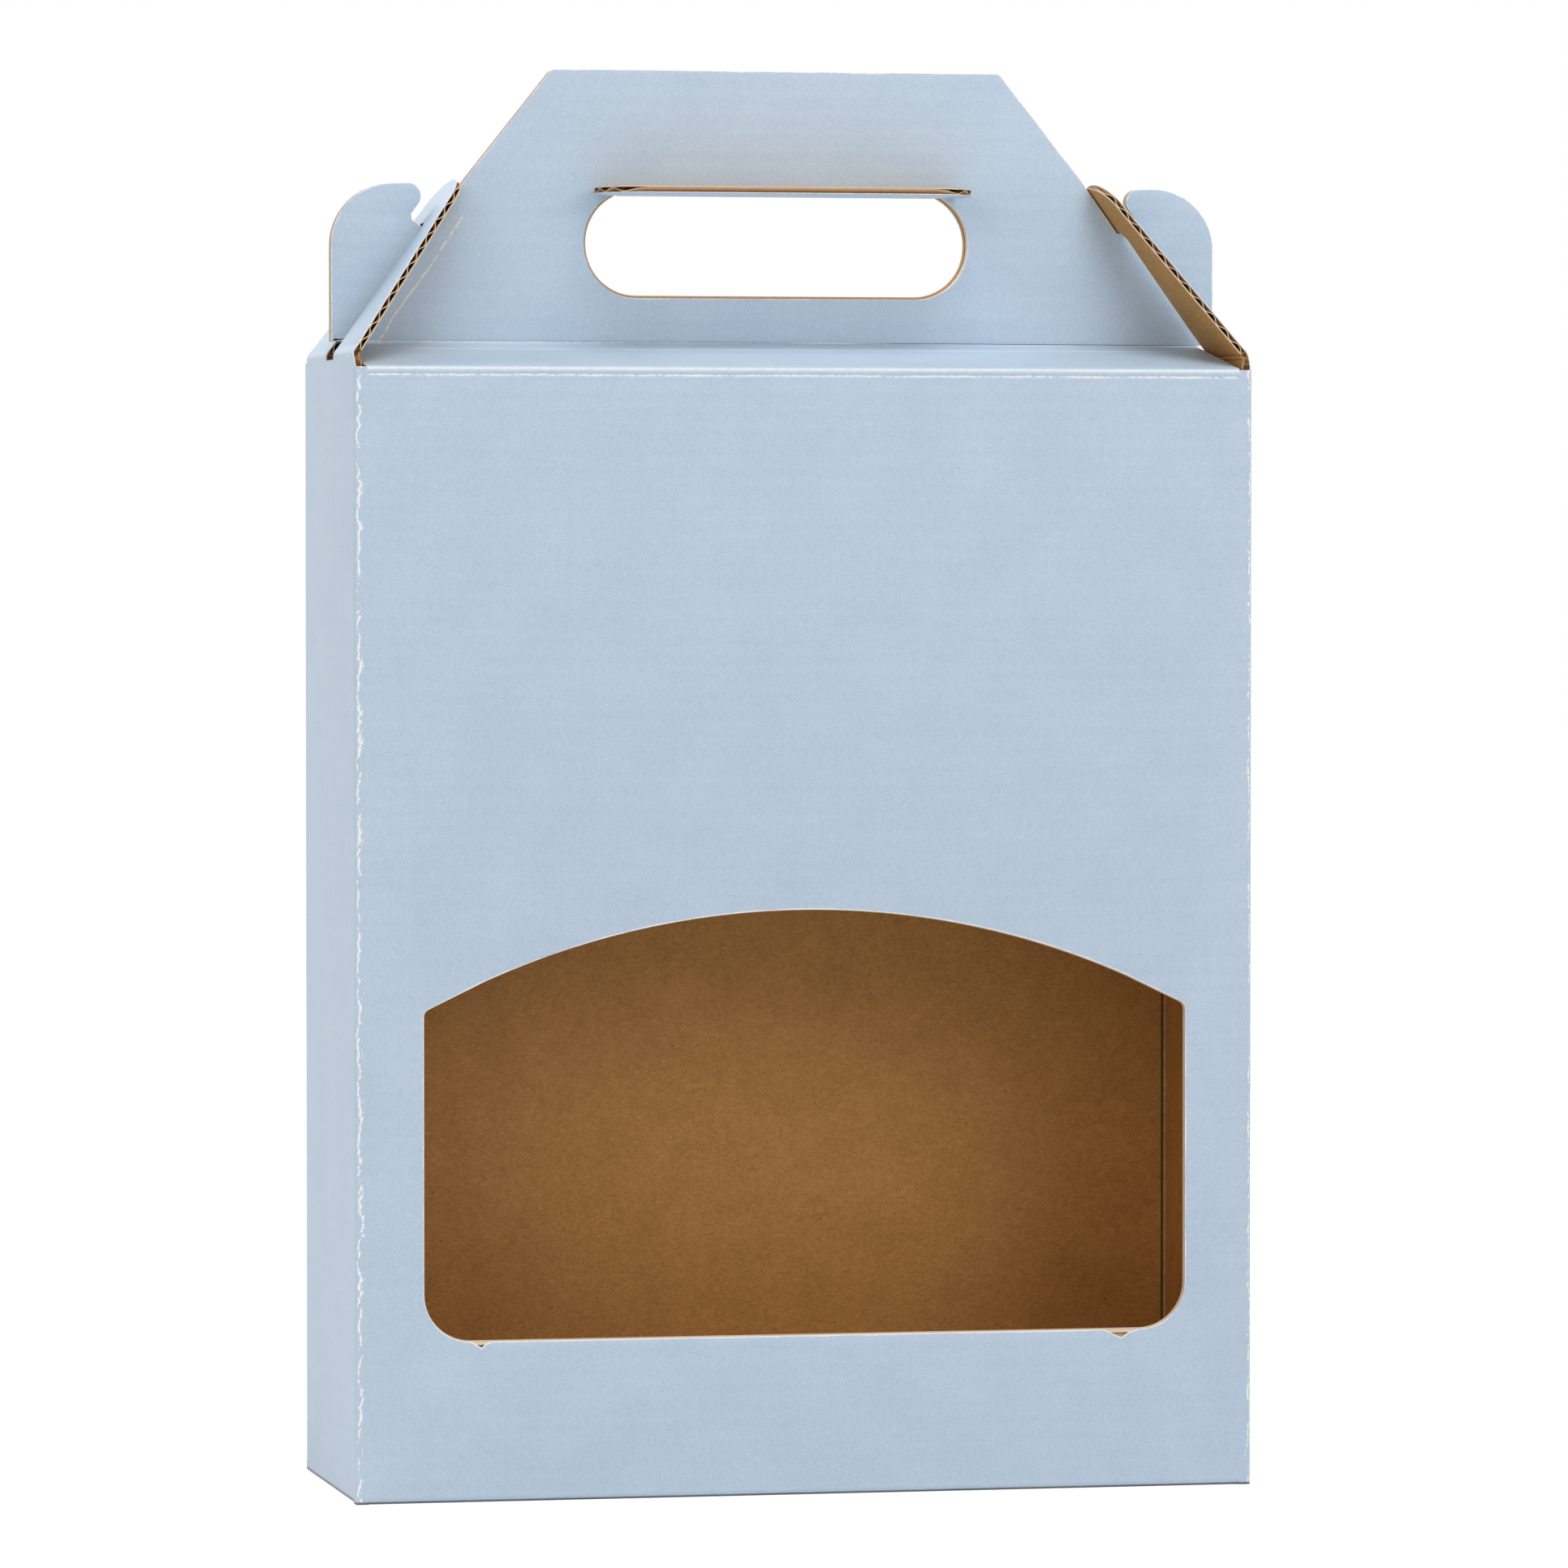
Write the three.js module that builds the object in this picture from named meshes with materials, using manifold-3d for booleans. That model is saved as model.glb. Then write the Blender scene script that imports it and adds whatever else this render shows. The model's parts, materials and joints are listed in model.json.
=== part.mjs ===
// A carry carton for a row of three bottles, cut and creased from one sheet of corrugated board.
// Each panel is drawn flat, as it lies in the sheet, and is then folded up along its crease.
//
// Millimetres and degrees. The origin is the middle of the base, +Z is up and the windowed front
// faces -Y. In a panel's own frame u runs along X, v along Y, and the printed face looks along +Z.

import * as THREE from 'three';
import { mergeVertices } from 'three/addons/utils/BufferGeometryUtils.js';
import Module from 'manifold-3d';

// Board
const BOARD = 1.7; // thickness of the board, two papers with small flutes between them
const FOLD_GAP = 0.3; // slit between two panels at a crease, and between layers that lie together
const ARC_STEPS = 7; // fineness of the round corners: an arc has twice as many straight steps

// Tube of four walls
const BOX_WIDTH = 216; // outside, left to right
const BOX_DEPTH = 76; // outside, front to back
const WALL_HEIGHT = 266; // front and back walls, floor to top crease
const SIDE_RISE = 3.5; // the side walls' top creases lie this much higher
const SEAM_TAB_WIDTH = 25; // glued tab inside the back left corner
const SEAM_TAB_INSET = 8; // the tab stops short of the walls' ends
const SEAM_TAB_CHAMFER = 10; // slope cut at each end of the tab

// Window in the front wall
const WINDOW_MARGIN = 16.4; // board left at each side
const WINDOW_SILL = 38; // height of the sill
const WINDOW_SIDE = 77; // straight side, sill to the spring of the arch
const WINDOW_CROWN = 23.2; // rise of the arch
const WINDOW_SILL_RADIUS = 11;
const WINDOW_SHOULDER_RADIUS = 2.5;

// Gable top and handle
const TOP_SLOPE = 10; // pitch of the two top panels
const TOP_SIDE_ROOM = 0.8; // play between a top panel's ends and the side walls
const TOP_TAPER = 1.8; // each end draws in by this much at the handle
const HANDLE_HEIGHT = 66.5; // handle crease to the top edge
const HANDLE_TOP_WIDTH = 109.4;
const HANDLE_TOP_RADIUS = 1.2;

// Ears at the handle's two ends, which the lock flaps are threaded over
const EAR_SIDE_ROOM = 0.2; // each ear stops this much short of the side of the box
const EAR_FOOT = 1.2; // handle crease to the underside of the ears
const EAR_HEIGHT = 40.6; // lock crease to the top of the ears
const EAR_OUTER_RADIUS = 14.7;
const EAR_TIP_RADIUS = 3;
const EAR_FOOT_RADIUS = 0.5;

// Notch between an ear and the handle, where the lock flap lies
const NOTCH_REACH = 37.4; // along the lock flap, crease to the bottom of the notch
const NOTCH_LENGTH = 16.4; // from there to the handle's shoulder
const NOTCH_OUTER_ROOM = 3.6; // play outside the flap
const NOTCH_INNER_ROOM = 0.5; // play inside the flap
const NOTCH_RADIUS = 1;

// Lock flaps on the side walls
const LOCK_LEAN = 54.5; // pitch of the closed flaps
const LOCK_TIP_WIDTH = 24.4; // between the corners of the tip, before they are rounded
const LOCK_TIP_RADIUS = 8;
const LOCK_BRIDGE = 3.4; // board between the slot and the tip
const LOCK_SLOT_SIDE_ROOM = 3; // play beside the two handle layers, which part as the top opens
const LOCK_SLOT_END_ROOM = 0.6; // play past the ears' tips
const LOCK_SLOT_RADIUS = 2.5;
const LOCK_FLARE_WIDTH = 12; // width of the slot at the crease
const LOCK_FLARE_HEIGHT = 10; // the slot narrows over this height

// Hand hole, and the grip flap that is pushed forward out of the back layer's hole
const GRIP_WIDTH = 92.4; // back layer's hole
const GRIP_HEIGHT = 23.7; // back layer's hole
const GRIP_END_TURN = 60; // the hole's ends turn in by this much, then run straight to the flap's crease
const GRIP_END_STRAIGHT = 0.5; // short straight half way up each end
const GRIP_FOOT = 12.9; // handle crease to the bottom of the holes
const GRIP_CUT = 0.5; // play round the grip flap in its own hole
const GRIP_ROOT = 2.5; // the flap is cut straight beside its crease before it widens
const GRIP_FRONT_ROOM = 0.7; // the front layer's hole is wider by this much at each end
const GRIP_FRONT_HEADROOM = 0.9; // play above the grip flap in the front layer's hole
const GRIP_FRONT_TOP_RADIUS = 2;

// Base: two hooked outer flaps in one layer, and two inner flaps on top of them
const BASE_HOOK = 12; // reach of each hook past the middle of the base
const BASE_HOOK_SLANT = 6; // the hook's flank leans by this much each way
const BASE_SEAM = 0.6; // slit between the two hooked flaps
const BASE_CORNER_SLANT = 45; // pitch of the crease that sets off a glue corner
const BASE_INNER_LENGTH = 48;
const BASE_INNER_TAPER = 12; // each edge of an inner flap draws in by this much

// Colours of the two faces
const PRINT_BLUE = 0xb4c6d9;
const KRAFT_BROWN = 0xb08a5e;

// The face of the board that holds a crease's hinge line
const PRINTED = 'printed';
const KRAFT = 'kraft';

const RIGHT_ANGLE = 90;
const radians = THREE.MathUtils.degToRad;

const wasm = await Module();
wasm.setup();

function toSolid(geometry) {
  geometry.deleteAttribute('normal');
  geometry.deleteAttribute('uv');
  const merged = mergeVertices(geometry);
  const vertProperties = Float32Array.from(merged.attributes.position.array);
  const triVerts = Uint32Array.from(merged.index.array);
  return new wasm.Manifold(new wasm.Mesh({ numProp: 3, vertProperties, triVerts }));
}

function toGeometry(solid) {
  const mesh = solid.getMesh();
  const geometry = new THREE.BufferGeometry();
  geometry.setAttribute('position', new THREE.BufferAttribute(mesh.vertProperties, 3));
  geometry.setIndex(new THREE.BufferAttribute(mesh.triVerts, 1));
  geometry.computeVertexNormals();
  return geometry;
}

// Draws a closed path through corners [u, v, radius], each one rounded by its radius.
function rounded(path, corners) {
  const count = corners.length;
  const point = (index) => new THREE.Vector2(...corners[(index + count) % count].slice(0, 2));
  corners.forEach(([, , radius = 0], index) => {
    const corner = point(index);
    const back = point(index - 1).sub(corner).normalize();
    const ahead = point(index + 1).sub(corner).normalize();
    const half = back.angleTo(ahead) / 2;
    const start = corner.clone().addScaledVector(back, radius / Math.tan(half));
    if (index === 0) path.moveTo(start.x, start.y);
    else path.lineTo(start.x, start.y);
    if (radius === 0) return;
    const end = corner.clone().addScaledVector(ahead, radius / Math.tan(half));
    const centre = corner.clone().add(back.clone().add(ahead).setLength(radius / Math.sin(half)));
    const from = start.sub(centre).angle();
    const to = end.sub(centre).angle();
    path.absarc(centre.x, centre.y, radius, from, to, back.cross(ahead) > 0);
  });
  path.closePath();
  return path;
}

// Adds the mirror image of the corners of an outline's right half, given from bottom to top.
function mirrored(corners) {
  const left = corners.map(([u, v, radius]) => [-u, v, radius]).reverse();
  return [...corners, ...left];
}

// A cutter whose face is the mitre of one creased edge. The crease runs through the point u, v, and
// turn is the direction of the panel from it: 0 for a panel above its crease, 90 for one to its left.
// A crease inside a panel has a length, and a reach that stays inside the hole beside it.
const ENDLESS = 2 * (BOX_WIDTH + WALL_HEIGHT);

function mitreCutter({ u = 0, v = 0, turn, fold, hinge, length = ENDLESS, reach = ENDLESS }, printedFace) {
  const half = radians(fold / 2);
  const cutter = new THREE.BoxGeometry(length, reach, reach);
  cutter.translate(0, -reach / 2, 0);
  cutter.rotateX(hinge === PRINTED ? half : -half);
  cutter.translate(0, FOLD_GAP / 2 / Math.cos(half), 0);
  cutter.rotateZ(radians(turn));
  cutter.translate(u, v, hinge === PRINTED ? printedFace : printedFace - BOARD);
  return cutter;
}

// One panel: its outline at the board's thickness, with the creased edges mitred.
function board(outline, creases, printedFace = 0) {
  const extrusion = { depth: BOARD, bevelEnabled: false, curveSegments: ARC_STEPS };
  const sheet = new THREE.ExtrudeGeometry(outline, extrusion);
  sheet.translate(0, 0, printedFace - BOARD);
  const cut = (solid, crease) => solid.subtract(toSolid(mitreCutter(crease, printedFace)));
  return toGeometry(creases.reduce(cut, toSolid(sheet)));
}

function addPanel(group, name, geometry, color = PRINT_BLUE) {
  const material = new THREE.MeshStandardMaterial({ color, roughness: 0.75, metalness: 0 });
  const mesh = new THREE.Mesh(geometry, material);
  mesh.name = name;
  group.add(mesh);
}

// A fold along a crease that crosses the parent panel at v, turned by the fold's angle.
function addFold(parent, v, z, angle) {
  const group = new THREE.Group();
  group.position.set(0, v, z);
  group.rotation.x = radians(angle);
  parent.add(group);
  return group;
}

// Walls

const carton = new THREE.Group();
const sideHeight = WALL_HEIGHT + SIDE_RISE;
const baseStep = BOARD + FOLD_GAP;
const seamInset = BOARD + FOLD_GAP;

function addWall(turn, reach) {
  const around = new THREE.Group();
  around.rotation.z = radians(turn);
  const upright = new THREE.Group();
  upright.position.set(0, -reach, 0);
  upright.rotation.x = radians(RIGHT_ANGLE);
  around.add(upright);
  carton.add(around);
  return upright;
}

const frontWall = addWall(0, BOX_DEPTH / 2);
const rightWall = addWall(90, BOX_WIDTH / 2);
const backWall = addWall(180, BOX_DEPTH / 2);
const leftWall = addWall(270, BOX_WIDTH / 2);

const topFold = RIGHT_ANGLE - TOP_SLOPE;
const lockFold = RIGHT_ANGLE - LOCK_LEAN;

function wallOutline(left, right, bottom, top) {
  return rounded(new THREE.Shape(), [[left, bottom], [right, bottom], [right, top], [left, top]]);
}

function cornerCrease(u, turn) {
  return { u, turn, fold: RIGHT_ANGLE, hinge: PRINTED };
}

function floorCrease(v) {
  return { v, turn: 0, fold: RIGHT_ANGLE, hinge: PRINTED };
}

function windowPath() {
  const half = BOX_WIDTH / 2 - WINDOW_MARGIN;
  const spring = WINDOW_SILL + WINDOW_SIDE;
  const radius = (half ** 2 + WINDOW_CROWN ** 2) / (2 * WINDOW_CROWN);
  const centre = spring + WINDOW_CROWN - radius;
  const start = Math.acos((half - WINDOW_SHOULDER_RADIUS) / radius);
  const arch = new THREE.Vector2(radius * Math.cos(start), centre + radius * Math.sin(start));
  const sillMiddle = WINDOW_SILL + WINDOW_SILL_RADIUS;
  const sillEnd = half - WINDOW_SILL_RADIUS;
  const path = new THREE.Path();
  path.moveTo(-sillEnd, WINDOW_SILL);
  path.lineTo(sillEnd, WINDOW_SILL);
  path.absarc(sillEnd, sillMiddle, WINDOW_SILL_RADIUS, -Math.PI / 2, 0);
  path.lineTo(half, spring - WINDOW_SHOULDER_RADIUS);
  path.quadraticCurveTo(half, spring, arch.x, arch.y);
  path.absarc(0, centre, radius, start, Math.PI - start);
  path.quadraticCurveTo(-half, spring, -half, spring - WINDOW_SHOULDER_RADIUS);
  path.lineTo(-half, sillMiddle);
  path.absarc(-sillEnd, sillMiddle, WINDOW_SILL_RADIUS, Math.PI, 1.5 * Math.PI);
  return path;
}

function addWalls() {
  const halfWidth = BOX_WIDTH / 2;
  const halfDepth = BOX_DEPTH / 2;
  const topCrease = { v: WALL_HEIGHT, turn: 180, fold: topFold, hinge: PRINTED };
  const lockCrease = { v: sideHeight, turn: 180, fold: lockFold, hinge: PRINTED };

  const front = wallOutline(-halfWidth, halfWidth, 0, WALL_HEIGHT);
  front.holes.push(windowPath());
  const frontCorners = [cornerCrease(-halfWidth, 270), cornerCrease(halfWidth, 90)];
  const frontCreases = [...frontCorners, floorCrease(0), topCrease];
  addPanel(frontWall, 'front_panel', board(front, frontCreases));

  const right = wallOutline(-halfDepth, halfDepth, baseStep, sideHeight);
  const rightCorners = [cornerCrease(-halfDepth, 270), cornerCrease(halfDepth, 90)];
  const rightCreases = [...rightCorners, floorCrease(baseStep), lockCrease];
  addPanel(rightWall, 'right_panel', board(right, rightCreases));

  // The back wall stops short of the left wall, and its tab turns in and is glued inside it.
  const seam = halfWidth - seamInset;
  const back = wallOutline(-halfWidth, seam, 0, WALL_HEIGHT);
  const backCreases = [cornerCrease(-halfWidth, 270), cornerCrease(seam, 90), floorCrease(0), topCrease];
  addPanel(backWall, 'back_panel', board(back, backCreases));

  const tab = rounded(new THREE.Shape(), [
    [0, SEAM_TAB_INSET],
    [SEAM_TAB_WIDTH, SEAM_TAB_INSET + SEAM_TAB_CHAMFER],
    [SEAM_TAB_WIDTH, WALL_HEIGHT - SEAM_TAB_INSET - SEAM_TAB_CHAMFER],
    [0, WALL_HEIGHT - SEAM_TAB_INSET],
  ]);
  const seamFold = new THREE.Group();
  seamFold.position.x = seam;
  seamFold.rotation.y = radians(RIGHT_ANGLE);
  backWall.add(seamFold);
  addPanel(seamFold, 'glue_tab', board(tab, [cornerCrease(0, 270)]), KRAFT_BROWN);

  const left = wallOutline(-halfDepth, halfDepth, baseStep, sideHeight);
  const leftCreases = [cornerCrease(halfDepth, 90), floorCrease(baseStep), lockCrease];
  addPanel(leftWall, 'left_panel', board(left, leftCreases));
}

addWalls();

// Gable top and handle

const slope = radians(TOP_SLOPE);
const lean = radians(LOCK_LEAN);
const topLength = (BOX_DEPTH / 2 - FOLD_GAP / 2 - BOARD * Math.sin(slope)) / Math.cos(slope);
const handleCreaseHeight = WALL_HEIGHT + topLength * Math.sin(slope) - BOARD * Math.cos(slope);
const topHalfWidth = BOX_WIDTH / 2 - BOARD - TOP_SIDE_ROOM;
const handleHalfWidth = topHalfWidth - TOP_TAPER;
const lockCreaseV = sideHeight - handleCreaseHeight;

// A point of the handle's plane, by its distance along the closed right lock flap and out of its print.
function besideLockFlap(along, out, radius) {
  const u = BOX_WIDTH / 2 - along * Math.cos(lean) + out * Math.sin(lean);
  const v = lockCreaseV + along * Math.sin(lean) + out * Math.cos(lean);
  return [u, v, radius];
}

// Where the ear's flat top would meet the notch, along the lock flap
const earTipAlong = (EAR_HEIGHT - NOTCH_OUTER_ROOM * Math.cos(lean)) / Math.sin(lean);
const earTipReach = Math.hypot(earTipAlong, NOTCH_OUTER_ROOM);

function handleOutline() {
  const notchInside = -BOARD - NOTCH_INNER_ROOM;
  const earTop = lockCreaseV + EAR_HEIGHT;
  const earHalfWidth = BOX_WIDTH / 2 - EAR_SIDE_ROOM;
  return rounded(new THREE.Shape(), mirrored([
    [handleHalfWidth, 0],
    [handleHalfWidth, EAR_FOOT, EAR_FOOT_RADIUS],
    [earHalfWidth, EAR_FOOT, EAR_FOOT_RADIUS],
    [earHalfWidth, earTop, EAR_OUTER_RADIUS],
    besideLockFlap(earTipAlong, NOTCH_OUTER_ROOM, EAR_TIP_RADIUS),
    besideLockFlap(NOTCH_REACH, NOTCH_OUTER_ROOM, NOTCH_RADIUS),
    besideLockFlap(NOTCH_REACH, notchInside, NOTCH_RADIUS),
    besideLockFlap(NOTCH_REACH + NOTCH_LENGTH, notchInside),
    [HANDLE_TOP_WIDTH / 2, HANDLE_HEIGHT, HANDLE_TOP_RADIUS],
  ]));
}

// The holes' round ends stop just short of the grip flap's crease.
const gripTurn = radians(GRIP_END_TURN);
const gripEndRadius = (GRIP_HEIGHT - GRIP_END_STRAIGHT - GRIP_CUT) / (1 + Math.sin(gripTurn));
const gripHinge = GRIP_FOOT + GRIP_HEIGHT;

// One end of the back layer's hole or of the grip flap: it turns up from the foot, then in, to the top.
function gripEnd(half, foot, radius, turn, top) {
  const bend = foot + radius + GRIP_END_STRAIGHT;
  const bendTop = bend + radius * Math.sin(turn);
  const topHalf = half - radius * (1 - Math.cos(turn)) - (top - bendTop) * Math.tan(turn);
  return [
    [half, foot, radius],
    [half, bend + radius * Math.tan(turn / 2), radius],
    [topHalf, top],
  ];
}

const backHoleEnd = gripEnd(GRIP_WIDTH / 2, GRIP_FOOT, gripEndRadius, gripTurn, gripHinge);
const backHole = rounded(new THREE.Path(), mirrored(backHoleEnd));

// The front layer's hole is wide up to its top, as the grip flap slides out of it when the two layers part.
const frontHoleHalf = GRIP_WIDTH / 2 + GRIP_FRONT_ROOM;
const frontHole = rounded(new THREE.Path(), mirrored([
  [frontHoleHalf, GRIP_FOOT, gripEndRadius],
  [frontHoleHalf, gripHinge + BOARD + GRIP_FRONT_HEADROOM, GRIP_FRONT_TOP_RADIUS],
]));

function addTop(wall, name, hole, gripCreases) {
  const top = addFold(wall, WALL_HEIGHT, 0, -topFold);
  const outline = rounded(new THREE.Shape(), mirrored([[topHalfWidth, 0], [handleHalfWidth, topLength]]));
  addPanel(top, `${name}_top_panel`, board(outline, [
    { turn: 0, fold: topFold, hinge: PRINTED },
    { v: topLength, turn: 180, fold: topFold, hinge: KRAFT },
  ]));

  const handle = addFold(top, topLength, -BOARD, topFold);
  const panel = handleOutline();
  panel.holes.push(hole);
  const creases = [{ turn: 0, fold: topFold, hinge: KRAFT }, ...gripCreases];
  addPanel(handle, `${name}_handle_panel`, board(panel, creases, BOARD));
  return handle;
}

// The grip flap hinges on its hole's straight top edge.
const [gripHingeHalf] = backHoleEnd.at(-1);

function addGripFlap(handle) {
  const half = GRIP_WIDTH / 2 - GRIP_CUT;
  const endRadius = gripEndRadius - GRIP_CUT;
  const rootRise = GRIP_HEIGHT - gripEndRadius - GRIP_END_STRAIGHT - GRIP_ROOT - GRIP_CUT;
  const rootTurn = Math.asin(rootRise / endRadius);
  const outline = rounded(new THREE.Shape(), mirrored([
    ...gripEnd(half, GRIP_CUT - GRIP_HEIGHT, endRadius, rootTurn, -GRIP_ROOT),
    [gripHingeHalf - GRIP_CUT, -GRIP_ROOT],
    [gripHingeHalf - GRIP_CUT, 0],
  ]));
  const flap = addFold(handle, gripHinge, BOARD, RIGHT_ANGLE);
  addPanel(flap, 'grip_flap', board(outline, [{ turn: 180, fold: RIGHT_ANGLE, hinge: PRINTED }]));
}

const gripCrease = {
  v: gripHinge,
  turn: 0,
  fold: RIGHT_ANGLE,
  hinge: PRINTED,
  length: 2 * gripHingeHalf - GRIP_CUT,
  reach: GRIP_HEIGHT / 2,
};
addTop(frontWall, 'front', frontHole, []);
addGripFlap(addTop(backWall, 'back', backHole, [gripCrease]));

// Lock flaps

function addLockFlap(wall, name) {
  const slotHalf = BOARD + FOLD_GAP / 2 + LOCK_SLOT_SIDE_ROOM;
  const slotEnd = earTipReach + LOCK_SLOT_END_ROOM;
  const outline = rounded(new THREE.Shape(), mirrored([
    [slotHalf, slotEnd, LOCK_SLOT_RADIUS],
    [slotHalf, LOCK_FLARE_HEIGHT],
    [LOCK_FLARE_WIDTH / 2, 0],
    [BOX_DEPTH / 2 - seamInset, 0],
    [LOCK_TIP_WIDTH / 2, slotEnd + LOCK_BRIDGE, LOCK_TIP_RADIUS],
  ]));
  const flap = addFold(wall, sideHeight, 0, -lockFold);
  addPanel(flap, `${name}_lock_flap`, board(outline, [{ turn: 0, fold: lockFold, hinge: PRINTED }]));
}

addLockFlap(leftWall, 'left');
addLockFlap(rightWall, 'right');

// Base

const innerHalfWidth = BOX_WIDTH / 2 - BOARD - FOLD_GAP;
const innerHalfDepth = BOX_DEPTH / 2 - BOARD - FOLD_GAP;
const floorEdge = { turn: 180, fold: RIGHT_ANGLE, hinge: PRINTED };

// A hooked flap fills its half of the base to the hooked seam. Its shallow end has a corner of its own,
// beyond a slanting crease, which is glued to the inner flap above it.
function addHookedFlap(wall, name) {
  const deep = BOX_DEPTH / 2 + BASE_HOOK - BASE_SEAM / 2;
  const shallow = BOX_DEPTH / 2 - BASE_HOOK - BASE_SEAM / 2;
  const flank = (BASE_SEAM / 2) * Math.hypot(1, BASE_HOOK_SLANT / BASE_HOOK);
  const flap = addFold(wall, 0, 0, RIGHT_ANGLE);
  const slantCrease = (turn) => ({ u: -innerHalfWidth, turn, fold: 0, hinge: PRINTED });

  const hooked = rounded(new THREE.Shape(), [
    [-innerHalfWidth, 0],
    [shallow - innerHalfWidth, -shallow],
    [BASE_HOOK_SLANT + flank, -shallow],
    [flank - BASE_HOOK_SLANT, -deep],
    [innerHalfWidth, -deep],
    [innerHalfWidth, 0],
  ]);
  addPanel(flap, `base_${name}_flap`, board(hooked, [floorEdge, slantCrease(-BASE_CORNER_SLANT)]));

  const corner = rounded(new THREE.Shape(), [
    [-innerHalfWidth, 0],
    [-innerHalfWidth, -shallow],
    [shallow - innerHalfWidth, -shallow],
  ]);
  const cornerCreases = [floorEdge, slantCrease(180 - BASE_CORNER_SLANT)];
  addPanel(flap, `base_${name}_glue_corner`, board(corner, cornerCreases));
}

function addInnerFlap(wall, name) {
  const outline = rounded(new THREE.Shape(), mirrored([
    [innerHalfDepth - BASE_INNER_TAPER, -BASE_INNER_LENGTH],
    [innerHalfDepth, 0],
  ]));
  const flap = addFold(wall, baseStep, 0, RIGHT_ANGLE);
  addPanel(flap, `base_${name}_flap`, board(outline, [floorEdge]));
}

addHookedFlap(frontWall, 'front');
addHookedFlap(backWall, 'back');
addInnerFlap(leftWall, 'left');
addInnerFlap(rightWall, 'right');

export default carton;
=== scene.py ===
import json
import math

import bpy
import numpy as np
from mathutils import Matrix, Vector, geometry, noise

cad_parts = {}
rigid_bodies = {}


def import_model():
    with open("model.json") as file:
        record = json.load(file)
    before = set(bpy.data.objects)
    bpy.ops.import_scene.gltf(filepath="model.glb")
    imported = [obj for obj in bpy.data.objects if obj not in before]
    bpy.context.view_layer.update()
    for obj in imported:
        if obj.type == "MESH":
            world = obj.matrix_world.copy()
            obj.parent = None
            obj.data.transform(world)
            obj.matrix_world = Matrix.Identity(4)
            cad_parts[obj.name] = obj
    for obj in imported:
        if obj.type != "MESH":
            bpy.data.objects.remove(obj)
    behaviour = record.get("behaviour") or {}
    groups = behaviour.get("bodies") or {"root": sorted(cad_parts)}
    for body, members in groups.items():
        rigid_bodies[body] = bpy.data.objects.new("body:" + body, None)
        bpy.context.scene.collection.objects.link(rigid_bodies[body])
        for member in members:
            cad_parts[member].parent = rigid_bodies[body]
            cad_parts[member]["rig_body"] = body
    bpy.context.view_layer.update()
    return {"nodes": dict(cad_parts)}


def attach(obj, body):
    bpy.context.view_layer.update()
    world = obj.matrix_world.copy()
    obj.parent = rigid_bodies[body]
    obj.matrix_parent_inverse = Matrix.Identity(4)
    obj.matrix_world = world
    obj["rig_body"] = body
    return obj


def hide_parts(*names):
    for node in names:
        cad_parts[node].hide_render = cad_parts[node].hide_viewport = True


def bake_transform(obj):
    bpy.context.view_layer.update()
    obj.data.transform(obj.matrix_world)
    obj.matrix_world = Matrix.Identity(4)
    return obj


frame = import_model()


# Board
# The carton is cut from one sheet of board, three papers glued together: a white paper outside, printed pale
# blue, a fluted brown paper in the middle and a bare kraft paper inside. The box's sizes are millimetres.

MILLIMETRE = 0.001
BOARD = 1.7  # thickness of the whole board
PAPER = 0.28  # thickness of each flat paper
FLUTED_PAPER = 0.24  # thickness of the paper between them
FLUTE = 4.4  # from one flute to the next

LIGHT_BLUE = (0.528, 0.633, 0.749, 1)
DEEP_BLUE = (0.387, 0.500, 0.625, 1)
BARE_WHITE = (0.86, 0.87, 0.89, 1)
BARE_SHADE = (0.70, 0.68, 0.66, 1)
LIGHT_KRAFT = (0.645, 0.316, 0.078, 1)
DARK_KRAFT = (0.365, 0.160, 0.028, 1)
# Dark specks, and painted shade in the grooves of folds.
KRAFT_SPECK_AND_SHADE = (0.10, 0.055, 0.025, 1)
CUT_TAN = (0.830, 0.680, 0.510, 1)
# Painted shade of the hollows between the flutes.
FLUTE_HOLLOW_SHADE = (0.050, 0.024, 0.010, 1)
SCUFF_TAN = (0.900, 0.800, 0.680, 1)
# Painted shadow: the dark contact line along the box's foot.
FOOT_SHADOW = (0.028, 0.036, 0.062, 1)

HANDLE_SCUFF = ((-96.5, 302.6), (-90.4, 312.4), (-82.6, 323.0), (-76.4, 332.3))  # across and up the sheet
SCUFF_WANDER = 1.6  # how far it strays from a straight line
SCUFF_EDGE = (0.12, 0.36)  # it fades out between these distances from its middle
SCUFF_END = 0.3  # and within this distance of its ends
TOP_SCORE = 293.3  # its height in the flat sheet
SCORE_EDGE = (0.15, 0.65)  # it fades out between these distances from its middle
SCORE_ENDS = (96, 102)  # and between these distances from the middle of the box
SCORE_POWER = 1.5


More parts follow.
